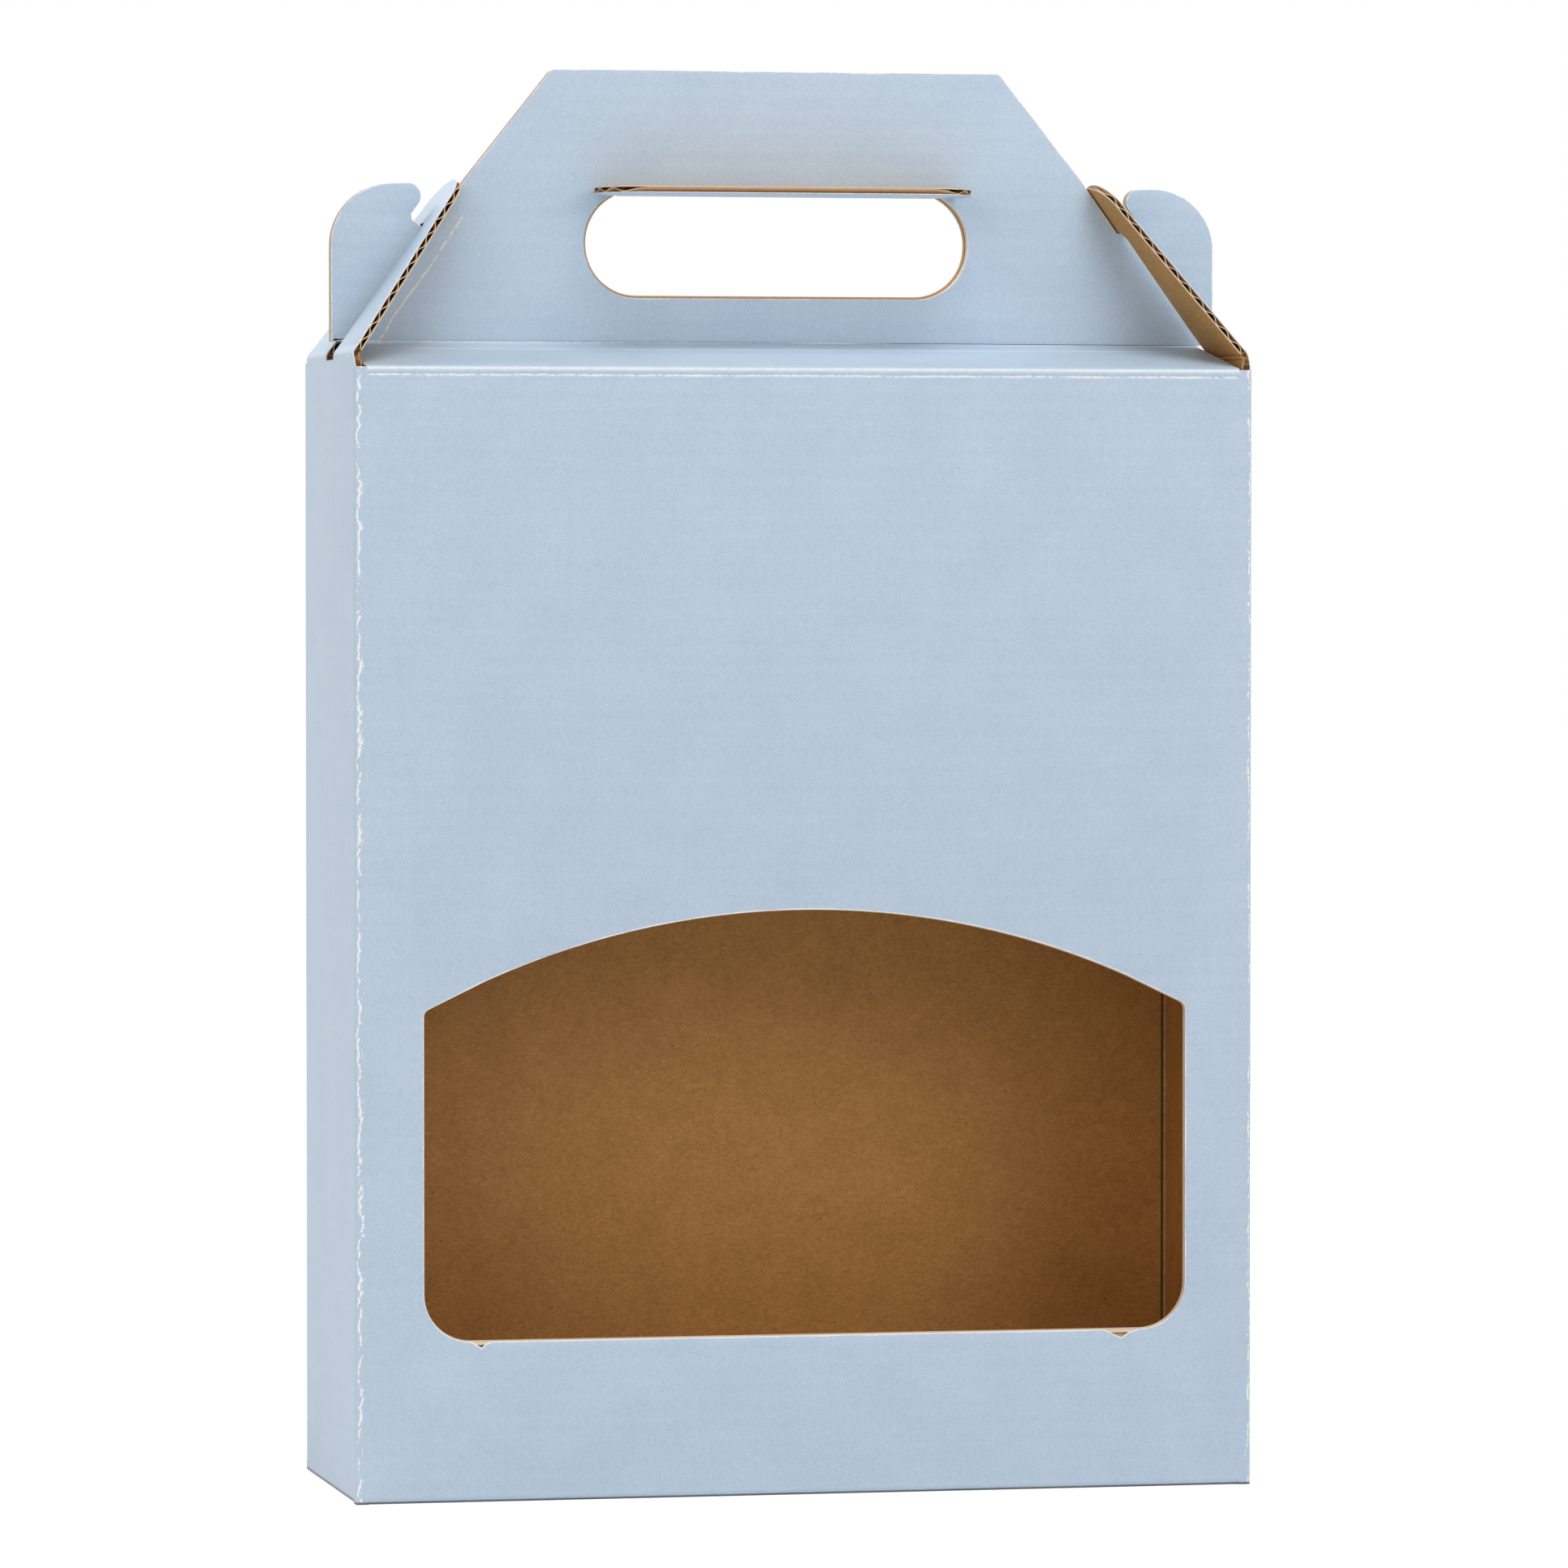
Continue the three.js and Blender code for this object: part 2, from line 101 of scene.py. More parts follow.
class Tone:
    """A socket of a shader. Sums and products of tones add the Math nodes that make them."""

    def __init__(self, tree, socket=None):
        self.tree = tree
        self.socket = socket

    def add(self, kind, settings, sockets, output=0):
        """One output of a new node, which has its settings set first and then its sockets set or linked."""
        node = self.tree.nodes.new("ShaderNode" + kind)
        for name, value in settings.items():
            setattr(node, name, value)
        for name, value in sockets.items():
            if isinstance(value, Tone):
                self.tree.links.new(value.socket, node.inputs[name])
            else:
                node.inputs[name].default_value = value
        return Tone(self.tree, node.outputs[output])

    def math(self, operation, first, second):
        return self.add("Math", {"operation": operation}, {0: first, 1: second})

    def __add__(self, other):
        return self.math("ADD", self, other)

    def __radd__(self, other):
        return self.math("ADD", other, self)

    def __sub__(self, other):
        return self.math("SUBTRACT", self, other)

    def __rsub__(self, other):
        return self.math("SUBTRACT", other, self)

    def __mul__(self, other):
        return self.math("MULTIPLY", self, other)

    def __rmul__(self, other):
        return self.math("MULTIPLY", other, self)

    def larger(self, other):
        return self.math("MAXIMUM", self, other)

    def magnitude(self):
        return self.math("ABSOLUTE", self, 0)

    def part(self, axis):
        return self.add("SeparateXYZ", {}, {0: self}, axis)

    def stretched(self, across, up):
        """Places in the sheet multiplied across and up. Grain on them runs long where that is small."""
        return self.add("VectorMath", {"operation": "MULTIPLY"}, {0: self, 1: (across, up, 1)})

    def grain(self, size, detail=2, swirl=0):
        """Noise about 0.5, with spots of this size in millimetres."""
        sockets = {"Vector": self, "Scale": 1 / size, "Detail": detail, "Distortion": swirl}
        return self.add("TexNoise", {}, sockets)

    def ramp(self, low, high):
        """0 below low, 1 above high, and a soft step between them."""
        sockets = {"Value": self, "From Min": low, "From Max": high}
        return self.add("MapRange", {"interpolation_type": "SMOOTHSTEP"}, sockets)

    def dye(self, first, second):
        """The first colour where this tone is 0, the second where it is 1."""
        return self.add("Mix", {"data_type": "RGBA"}, {0: self, 6: first, 7: second}, 2)


class Paper:
    """A paper's material. Its grain follows the flat sheet, and its wear and painted shade are written on the
    mesh's corners.

    The wear is how frayed the paper is by a cut, how cracked by a fold or, on kraft, painted with shade in a
    fold's grooves, and how rubbed and painted with highlight, or below zero painted with a dark shadow at the
    foot.
    """

    def __init__(self, name):
        self.material = bpy.data.materials.new(name)
        self.material.use_nodes = True
        self.tree = self.material.node_tree
        self.shader = self.tree.nodes["Principled BSDF"]
        start = Tone(self.tree)
        self.sheet = start.add("Attribute", {"attribute_name": "sheet"}, {}, "Vector")
        wear_and_shade = start.add("Attribute", {"attribute_name": "wear_and_shade"}, {}, "Vector")
        self.cut, self.crack, self.rub_highlight_and_shadow = (wear_and_shade.part(axis) for axis in range(3))

    def feed(self, **tones):
        for name, tone in tones.items():
            self.tree.links.new(tone.socket, self.shader.inputs[name.replace("_", " ")])

    def relief(self, height, depth):
        sockets = {"Height": height, "Distance": depth * MILLIMETRE, "Strength": 1.0}
        return height.add("Bump", {}, sockets)


def scuff(sheet):
    """The broken line rubbed into the front of the handle beside the left lock flap."""
    line = 0
    drift = (sheet.grain(6, 2) - 0.5) * SCUFF_WANDER
    for (u, v), (end_u, end_v) in zip(HANDLE_SCUFF, HANDLE_SCUFF[1:]):
        lean = math.atan2(end_v - v, end_u - u)
        reach = math.hypot(end_u - u, end_v - v)
        right = sheet.part(0) - u
        above = sheet.part(1) - v
        along = right * math.cos(lean) + above * math.sin(lean)
        aside = above * math.cos(lean) - right * math.sin(lean) + drift
        width = 1 - aside.magnitude().ramp(*SCUFF_EDGE)
        line = line + width * along.ramp(-SCUFF_END, 0.0) * (1 - along.ramp(reach, reach + SCUFF_END))
    return line * (0.25 + sheet.grain(1.1, 3) * 1.1).ramp(0.6, 0.9)


def score(sheet):
    """The line across the gable's front slope where its print is rubbed thin."""
    rise = sheet.part(1) - TOP_SCORE
    line = 1 - rise.magnitude().ramp(*SCORE_EDGE)
    length = 1 - sheet.part(0).magnitude().ramp(*SCORE_ENDS)
    return line * length * sheet.stretched(0.2, 1).grain(2.0, 3) * SCORE_POWER


def printed_paper():
    """The outside paper: white, printed blue, frayed along cuts, cracked along folds, rubbed and painted with
    highlight along fold ridges, and painted with a dark contact shadow at the foot.
    """
    paper = Paper("printed_paper")
    sheet = paper.sheet
    fine = sheet.grain(0.40, 3)
    fibre = sheet.grain(1.0, 3, 1.6)
    cloud = sheet.grain(17, 2)
    band = sheet.stretched(0.02, 0.5).grain(1.0, 2)
    streak = sheet.stretched(0.6, 0.006).grain(1.0, 2)
    flute = sheet.add("Math", {"operation": "SINE"}, {0: sheet.part(1) * (2 * math.pi / FLUTE)})
    grain = (fine - 0.5) * 1.5 + (fibre - 0.5) * 1.1
    wash = (cloud - 0.5) * 0.5 + (band - 0.5) * 0.14 + (streak - 0.5) * 0.10
    blue = (0.5 + grain + wash + flute * 0.02).dye(DEEP_BLUE, LIGHT_BLUE)

    ragged = sheet.grain(0.9, 3)
    patchy = sheet.grain(13, 1)
    fuzz = (paper.cut + (ragged - 0.5) * 1.1 + (patchy - 0.5) * 1.5).ramp(0.78, 1.0)
    broken = sheet.grain(1.1, 4, 0.6) + (sheet.grain(8, 1) - 0.5) * 0.8
    split = (paper.crack + (broken - 0.5) * 0.9).ramp(0.88, 1.0)
    # Rubbed print, and painted highlight along the ridges of folds.
    rubbed_and_highlit = paper.rub_highlight_and_shadow.larger(0) * (0.35 + sheet.grain(2.2, 3))
    # A rub below zero is painted shadow: the dark contact line along the box's foot.
    foot_shadow = (0 - paper.rub_highlight_and_shadow).ramp(0.1, 0.8)
    fleck = sheet.grain(0.42, 1).ramp(0.74, 0.80) * 0.5
    worn = fuzz.larger(split)
    thin = fleck.larger(rubbed_and_highlit.larger(score(sheet)))
    bare = worn.larger(thin)
    inked = bare.dye(blue, BARE_WHITE)
    paper.feed(Base_Color=foot_shadow.dye(scuff(sheet).dye(inked, SCUFF_TAN), FOOT_SHADOW))
    paper.feed(Roughness=0.44 + fine * 0.10 + bare * 0.3)
    paper.feed(Normal=paper.relief(fine * 0.5 + flute * 0.35 + streak * 0.4 - split, 0.035))
    paper.shader.inputs["Specular IOR Level"].default_value = 0.9
    return paper.material


def kraft_paper():
    """The inside paper: bare kraft with long fibres and dark specks, and painted shade in the grooves of
    folds.
    """
    paper = Paper("kraft_paper")
    sheet = paper.sheet
    fine = sheet.grain(0.5, 3)
    fibre = sheet.stretched(0.35, 1.0).grain(0.8, 4, 2.2)
    swirl = sheet.grain(4.0, 3, 3.0)
    cloud = sheet.grain(12, 3)
    tint = 0.5 + (fine - 0.5) * 1.0 + (fibre - 0.5) * 1.3 + (swirl - 0.5) * 0.8 + (cloud - 0.5) * 0.5
    brown = tint.dye(DARK_KRAFT, LIGHT_KRAFT)
    dots = sheet.add("TexVoronoi", {}, {"Vector": sheet, "Scale": 1 / 4.5}, "Distance")
    chance = sheet.grain(6.0, 0).ramp(0.50, 0.60)
    speck = (1 - dots.ramp(0.035, 0.075)) * chance * 0.8
    # Dark specks, and painted shade in the grooves beside a fold's bead.
    specks_and_groove_shade = speck.larger(paper.crack * 0.65)
    paper.feed(Base_Color=(paper.cut * 0.85).dye(specks_and_groove_shade.dye(brown, KRAFT_SPECK_AND_SHADE), CUT_TAN))
    paper.feed(Normal=paper.relief(fine * 0.6 + fibre * 0.8, 0.04))
    paper.shader.inputs["Roughness"].default_value = 0.62
    paper.shader.inputs["Specular IOR Level"].default_value = 0.5
    return paper.material


def bare_paper():
    """The white cut edge of the printed paper."""
    paper = Paper("bare_paper")
    tint = paper.sheet.grain(0.6, 2).ramp(0.35, 0.7)
    paper.feed(Base_Color=tint.dye(BARE_SHADE, BARE_WHITE))
    paper.shader.inputs["Roughness"].default_value = 0.9
    return paper.material


def flute_shade_paper():
    """Painted shade: the dark hollows of the fluted paper, and of the flutes that a crease has crushed."""
    paper = Paper("flute_hollow_shade_paper")
    paper.feed(Base_Color=paper.sheet.grain(1.1, 2).ramp(0.42, 0.75).dye(FLUTE_HOLLOW_SHADE, DARK_KRAFT))
    paper.shader.inputs["Roughness"].default_value = 0.9
    return paper.material


PAPERS = [printed_paper(), kraft_paper(), bare_paper(), flute_shade_paper()]
PRINT, KRAFT, BARE, FLUTE_SHADE = range(4)


# Walls
# Four walls of the board make a tube. Three corners are folds, and at the fourth a tab of the back wall turns
# in and is glued inside the left wall. The front has an arched window, torn a little at the ends of its sill.

BOX_MIDDLE = Vector((0, 0, 150))  # a panel's printed side faces away from here
PARALLEL = 0.9999  # least cosine between a panel's direction and its faces'
LYING_FLAT = 0.1  # a panel that slopes less, as a sine, is told its direction across
SHARP_ANGLE = 40  # degrees
STRAIGHT_TURN = 0.02  # a corner that turns less, as a sine, is moved as part of a straight edge
STRAIGHT_AREA = 1e-3  # a point that spans less with its neighbours is left out
CURVE_TURNS = (0.3, 12)  # degrees, the turns between the steps of a curve
CURVE_STEP = 2.0  # longer steps of a curve are bent
CURVE_UNEVEN = 1.5  # a step this many times its neighbour is a straight edge
CURVE_SHARES = (0.25, 0.5, 0.75)  # where a bent step gets new points
CREASE_REACH = 2.4  # an edge this near to a crease belongs to it
CREASE_SLANT = 0.05  # unless it slants from it by more than this
SLIT_JOG = 0.3  # a point with both neighbours this near is a jog of a crease's slit
CUT_RIM = 0.55  # width of the strip that is pressed down along a cut
CUT_CRUSH = 0.10  # how far it is pressed down
FRAY_END = 1.5 * CUT_RIM  # how far the fraying of a cut runs on along a fold
HOLE_RETREAT = 0.22  # the printed paper stops this far short of a hole's edge
RIM_SLACK = 0.01  # room between the rim of a hole and the papers
RIM_WIDTH = 1.0  # how far the board is pressed together round a hole
FLUTE_STEPS = 8  # rows of corners to a flute
FLUTE_RECESS = 0.15  # the flutes stop this far short of a cut
FLUTE_MARGIN = 0.05  # the first and last rows stand this far inside
FLUTE_FRAY = 0.5  # half as pale as a cut edge


class Piece:
    """Corners and faces of one piece, with their place in the flat sheet and their wear and painted shade."""

    def __init__(self, name):
        self.name = name
        self.points, self.sheet, self.wear_and_shade = [], [], []
        self.faces, self.papers, self.smooth = [], [], []

    def corners(self, points, sheet, wear_and_shade):
        first = len(self.points)
        self.points.extend(points)
        self.sheet.extend(sheet)
        self.wear_and_shade.extend(wear_and_shade)
        return first

    def face(self, ring, paper, smooth=False):
        self.faces.append(ring)
        self.papers.append(paper)
        self.smooth.append(smooth)

    def build(self):
        mesh = bpy.data.meshes.new(self.name)
        mesh.from_pydata([Vector(point) * MILLIMETRE for point in self.points], [], self.faces)
        for material in PAPERS:
            mesh.materials.append(material)
        mesh.polygons.foreach_set("material_index", self.papers)
        mesh.polygons.foreach_set("use_smooth", self.smooth)
        for name, values in (("sheet", self.sheet), ("wear_and_shade", self.wear_and_shade)):
            layer = mesh.attributes.new(name, "FLOAT_VECTOR", "POINT")
            layer.data.foreach_set("vector", np.array(values, np.float32).ravel())
        mesh.set_sharp_from_angle(angle=math.radians(SHARP_ANGLE))
        made = bpy.data.objects.new(self.name, mesh)
        bpy.context.scene.collection.objects.link(made)
        return made


def moved(loop, distances):
    """The closed loop with each edge drawn to its left by its own distance."""
    ahead = np.roll(loop, -1, 0) - loop
    inward = np.stack([-ahead[:, 1], ahead[:, 0]], 1) / np.linalg.norm(ahead, axis=1)[:, None]
    before = np.roll(inward, 1, 0)
    drawn = np.roll(distances, 1)
    turn = before[:, 0] * inward[:, 1] - before[:, 1] * inward[:, 0]
    straight = np.abs(turn) < STRAIGHT_TURN
    turn = np.where(straight, 1, turn)
    shift = np.stack([
        (drawn * inward[:, 1] - distances * before[:, 1]) / turn,
        (distances * before[:, 0] - drawn * inward[:, 0]) / turn,
    ], 1)
    level = inward * distances[:, None]
    return loop + np.where(straight[:, None], level, shift)


def rounded(loop):
    """The loop with the long straight steps of its curves bent to the curve."""
    ahead = np.roll(loop, -1, 0) - loop
    length = np.linalg.norm(ahead, axis=1)
    heading = ahead / length[:, None]
    turn = np.arccos(np.clip((heading * np.roll(heading, 1, 0)).sum(1), -1, 1))
    least, most = np.radians(CURVE_TURNS)
    bends = (turn > least) & (turn < most)
    even = length < CURVE_UNEVEN * np.minimum(np.roll(length, 1), np.roll(length, -1))
    tangent = heading + np.roll(heading, 1, 0)
    tangent /= np.linalg.norm(tangent, axis=1)[:, None]
    result = []
    for i in range(len(loop)):
        j = (i + 1) % len(loop)
        result.append(loop[i])
        if not (bends[i] and bends[j] and even[i] and length[i] > CURVE_STEP):
            continue
        for share in CURVE_SHARES:
            rest = 1 - share
            point = loop[i] * rest**2 * (1 + 2 * share) + loop[j] * share**2 * (1 + 2 * rest)
            lead = tangent[i] * rest**2 * share - tangent[j] * share**2 * rest
            result.append(point + lead * length[i])
    return np.array(result)


class Panel:
    """A flat panel of the folded box: its printed plane, with u across it, v up it, and out of it."""

    known = {}

    def __init__(self, node, place=None, out=None, across=(1, 0, 0)):
        mesh = frame["nodes"][node].data
        normals = np.array([face.normal for face in mesh.polygons])
        areas = np.array([face.area for face in mesh.polygons])
        centres = np.array([face.center for face in mesh.polygons]) / MILLIMETRE
        if out is None:
            main = normals[np.argmax(areas)]
            sides = (main, -main)
            lift = [((centres - BOX_MIDDLE) @ side)[normals @ side > PARALLEL].mean() for side in sides]
            out = sides[int(np.argmax(lift))]
        self.body = frame["nodes"][node]["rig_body"]
        self.out = Vector(out).normalized()
        level = Vector((0, 0, 1)).cross(self.out)
        self.across = (level if level.length > LYING_FLAT else Vector(across)).normalized()
        self.up = self.out.cross(self.across)
        printed = [mesh.polygons[i] for i in np.nonzero(normals @ np.array(self.out) > PARALLEL)[0]]
        self.height = float(np.mean([face.center @ self.out for face in printed])) / MILLIMETRE
        self.loops = self.outline(mesh, printed)
        self.place = place
        self.folds = []
        Panel.known[node] = self

    def outline(self, mesh, printed):
        """The borders of the printed side, the outer one first, with their curves rounded."""
        edges = {}
        for face in printed:
            spots = [tuple(round(x / MILLIMETRE, 3) for x in mesh.vertices[i].co) for i in face.vertices]
            for start, end in zip(spots, spots[1:] + spots[:1]):
                if edges.get(end) and start in edges[end]:
                    edges[end].remove(start)
                else:
                    edges.setdefault(start, set()).add(end)
        follow = {start: next(iter(ends)) for start, ends in edges.items() if ends}
        loops = []
        while follow:
            spot = next(iter(follow))
            ring = []
            while spot in follow:
                ring.append((Vector(spot) @ self.across, Vector(spot) @ self.up))
                spot = follow.pop(spot)
            ring = np.array(ring)
            back = ring - np.roll(ring, 1, 0)
            ahead = np.roll(ring, -1, 0) - ring
            bent = np.abs(back[:, 0] * ahead[:, 1] - back[:, 1] * ahead[:, 0]) > STRAIGHT_AREA
            jog = np.maximum(np.linalg.norm(back, axis=1), np.linalg.norm(ahead, axis=1)) < SLIT_JOG
            loops.append(rounded(ring[bent & ~jog]))
        loops.sort(key=lambda ring: -np.ptp(ring[:, 0]))
        return loops

    def at(self, u, v, depth):
        """The point of the box at a place of the panel, this far out from its print."""
        return self.across * float(u) + self.up * float(v) + self.out * (self.height + float(depth))

    def flat(self, point):
        """Where a point of the box lies across and up the panel."""
        return np.array([point @ self.across, point @ self.up])

    def crease_way(self, start, along, within):
        """The direction into the panel from the crease that runs along through start."""
        for loop in self.loops:
            run = np.roll(loop, -1, 0) - loop
            length = np.linalg.norm(run, axis=1)
            inward = np.stack([-run[:, 1], run[:, 0]], 1) / length[:, None]
            creased = np.abs(((loop - start) * inward).sum(1)) < CREASE_REACH
            creased &= np.abs(inward @ along) < CREASE_SLANT
            creased &= np.abs((loop - start) @ along) < within
            if creased.any():
                return inward[np.argmax(creased * length)]

    def trimmed(self):
        """The loops with their creased edges drawn back to the folds, and how frayed each edge is."""
        result = []
        for loop in self.loops:
            ahead = np.roll(loop, -1, 0)
            length = np.linalg.norm(ahead - loop, axis=1)
            back = np.zeros(len(loop))
            folded = np.zeros(len(loop), bool)
            for start, into, setback, within in self.folds:
                near = (loop - start) @ into
                far = (ahead - start) @ into
                creased = (np.abs(far - near) < CREASE_SLANT * length) & (np.abs(near) < CREASE_REACH)
                for ends in (loop, ahead):
                    creased &= np.abs((ends - start) @ (-into[1], into[0])) < within
                back[creased] = setback - near[creased]
                folded |= creased
            drawn = moved(loop, back)
            points, cuts = [], []
            for i in range(len(loop)):
                points.append(drawn[i])
                cuts.append(0.0 if folded[i] else 1.0)
                if not folded[i]:
                    continue
                run = drawn[(i + 1) % len(loop)] - drawn[i]
                share = FRAY_END / np.linalg.norm(run)
                points.extend([drawn[i] + run * share, drawn[i] + run * (1 - share)])
                cuts.extend([0.0, 0.0])
            result.append((np.array(points), np.array(cuts)))
        return result


def add_liner(piece, panel, loops, face_depth, turned, papers):
    """One of the two flat papers: its face, crushed down along the cut edges, its back and its rim."""
    front, back_paper, edge = papers
    sign = -1 if turned else 1
    rims, drawn, starts = [], [], []
    for loop, cuts in loops:
        frayed = np.maximum(cuts, np.roll(cuts, 1))
        inner = moved(loop, np.full(len(loop), CUT_RIM))
        rows = [
            (inner, face_depth, np.zeros(len(loop))),
            (loop, face_depth - sign * CUT_CRUSH * np.minimum(frayed, 1), frayed),
            (loop, face_depth - sign * PAPER, frayed),
        ]
        firsts = []
        for points, depth, cut in rows:
            depths = np.broadcast_to(depth, len(points))
            corners = [panel.at(u, v, d) for (u, v), d in zip(points, depths)]
            sheet = [(*(spot + panel.place), 0) for spot in points]
            firsts.append(piece.corners(corners, sheet, [(frayed_by, 0, 0) for frayed_by in cut]))
        starts.append(firsts)
        rims.append(len(loop))
        drawn.append((inner, loop))
        for i in range(len(loop)):
            j = (i + 1) % len(loop)
            for upper, lower, paper in ((0, 1, front), (1, 2, edge)):
                ring = [firsts[lower] + i, firsts[lower] + j, firsts[upper] + j, firsts[upper] + i]
                piece.face(ring[::sign], paper)
    for row, which, paper, flip in ((0, 0, front, 1), (2, 1, back_paper, -1)):
        flat = [[Vector((u, v, 0)) for u, v in pair[which]] for pair in drawn]
        spots = [first[row] + i for first, count in zip(starts, rims) for i in range(count)]
        corners = [point for ring in flat for point in ring]
        for triangle in geometry.tessellate_polygon(flat):
            a, b, c = (corners[i] for i in triangle)
            order = 1 if (b - a).cross(c - a).z > 0 else -1
            piece.face([spots[i] for i in triangle][:: order * sign * flip], paper)


def add_rim(piece, panel, loop, cuts):
    """The edge of a hole, where the die has pressed the board together and left a slope of bare kraft."""
    under = PAPER + RIM_SLACK
    inside = moved(loop, np.full(len(loop), RIM_WIDTH))
    foot = under - BOARD
    rows = [(moved(loop, HOLE_RETREAT * cuts), -under), (loop, foot), (inside, foot), (inside, -under)]
    firsts = []
    for points, depth in rows:
        corners = [panel.at(u, v, depth) for u, v in points]
        sheet = [(*(spot + panel.place), 0) for spot in points]
        firsts.append(piece.corners(corners, sheet, [(1, 0, 0)] * len(points)))
    for upper, lower in zip(firsts, firsts[1:] + firsts[:1]):
        for i in range(len(loop)):
            j = (i + 1) % len(loop)
            piece.face([lower + i, lower + j, upper + j, upper + i], KRAFT)


def add_flutes(piece, panel, loops):
    """The fluted paper between the liners. The flutes run across the panel, so v makes the wave."""
    recess = [FLUTE_RECESS] + [RIM_WIDTH] * (len(loops) - 1)
    rings = [moved(loop, cuts * back) for (loop, cuts), back in zip(loops, recess)]
    edges = np.concatenate([np.stack([ring, np.roll(ring, -1, 0)], 1) for ring in rings])
    low = rings[0][:, 1].min() + FLUTE_MARGIN
    high = rings[0][:, 1].max() - FLUTE_MARGIN
    swing = (BOARD - FLUTED_PAPER) / 2 - PAPER
    last = []
    for v in np.linspace(low, high, max(2, round((high - low) / FLUTE * FLUTE_STEPS))):
        crossed = (edges[:, 0, 1] > v) != (edges[:, 1, 1] > v)
        start, end = edges[crossed, 0], edges[crossed, 1]
        hits = np.sort(start[:, 0] + (end - start)[:, 0] * (v - start[:, 1]) / (end - start)[:, 1])
        depth = swing * math.cos(2 * math.pi * (v + panel.place[1]) / FLUTE) - BOARD / 2
        half = FLUTED_PAPER / 2
        runs = []
        for left, right in zip(hits[0::2], hits[1::2]):
            spots = [(left, depth + half), (right, depth + half), (right, depth - half), (left, depth - half)]
            corners = [panel.at(u, v, d) for u, d in spots]
            sheet = [(u + panel.place[0], v + panel.place[1], 0) for u, d in spots]
            runs.append((left, right, piece.corners(corners, sheet, [(FLUTE_FRAY, 0, 0)] * 4)))
        joined = len(runs) == len(last) and all(a[0] < b[1] and b[0] < a[1] for a, b in zip(runs, last))
        if joined:
            for (_, _, now), (_, _, then) in zip(runs, last):
                for i in range(4):
                    j = (i + 1) % 4
                    # The flutes' undersides are painted dark, as shade in the hollows seen at a cut.
                    piece.face([then + i, then + j, now + j, now + i], FLUTE_SHADE if i == 2 else KRAFT)
        else:
            for _, _, then in last:
                piece.face([then + 1, then + 2, then + 3, then], KRAFT)
            for _, _, now in runs:
                piece.face([now, now + 3, now + 2, now + 1], KRAFT)
        last = runs
    for _, _, then in last:
        piece.face([then + 1, then + 2, then + 3, then], KRAFT)


def add_board(node, name, tear=None):
    """The finished panel: both liners and the flutes, in place of the panel's solid."""
    panel = Panel.known[node]
    loops = panel.trimmed()
    printed = loops[:1] + [(moved(loop, HOLE_RETREAT * cuts), cuts) for loop, cuts in loops[1:]]
    piece = Piece(name)
    add_liner(piece, panel, tear(printed) if tear else printed, 0, False, (PRINT, KRAFT, BARE))
    add_liner(piece, panel, loops, -BOARD, True, (KRAFT, KRAFT, KRAFT))
    for loop, cuts in loops[1:]:
        add_rim(piece, panel, loop, cuts)
    add_flutes(piece, panel, loops)
    made = piece.build()
    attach(made, panel.body)
    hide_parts(node)


FOLD_RADIUS = 0.8  # the bend takes up this much of each panel
FOLD_STATION = 1.0  # step along a fold
FOLD_LAYERS = (PAPER / BOARD, 1 - PAPER / BOARD)  # where the flat papers end in the board's thickness
FLANK_ROWS = 13  # rows of corners on each side of the bend
BEND_ROWS = 9  # rows of corners round the bend
WHOLE_CREASE = 400  # longer than any crease
ON_CREASE = 0.01  # points this near to a line lie on it
BLEND_SHARE = 0.8  # a fold between two bodies has points taken at this share of its sides, which nothing uses
SCORE_DEPTH = 0.07  # depth of a crack in the print
BEAD_HEIGHT = 0.40  # the bulge along the inside of a fold
BEAD_SHARE = 0.5  # its half width, as a share of the fold's inner side
GROOVE_DEPTH = 0.25  # the groove on each side of the bead
GROOVE_PLACE = 0.72  # its middle, as the same share
GROOVE_SHARE = 0.26  # its half width, as the same share
FOLD_WOBBLE = 0.05  # how deep a fold is dented
WOBBLE_SCALE = 0.35  # dents to a millimetre
WOBBLE_SHARE = 0.8  # the dents reach over this share of a fold's sides
DRIFT_WAVES = ((0.33, 1.0), (0.97, 0.8))  # how the cracks wander: waves to a millimetre, and their sizes
UPRIGHT = 0.9  # least rise of an upright fold, as a sine
FOOT_SHADOW_HEIGHT = 0.5  # an upright fold is painted with the foot's contact shadow below this height
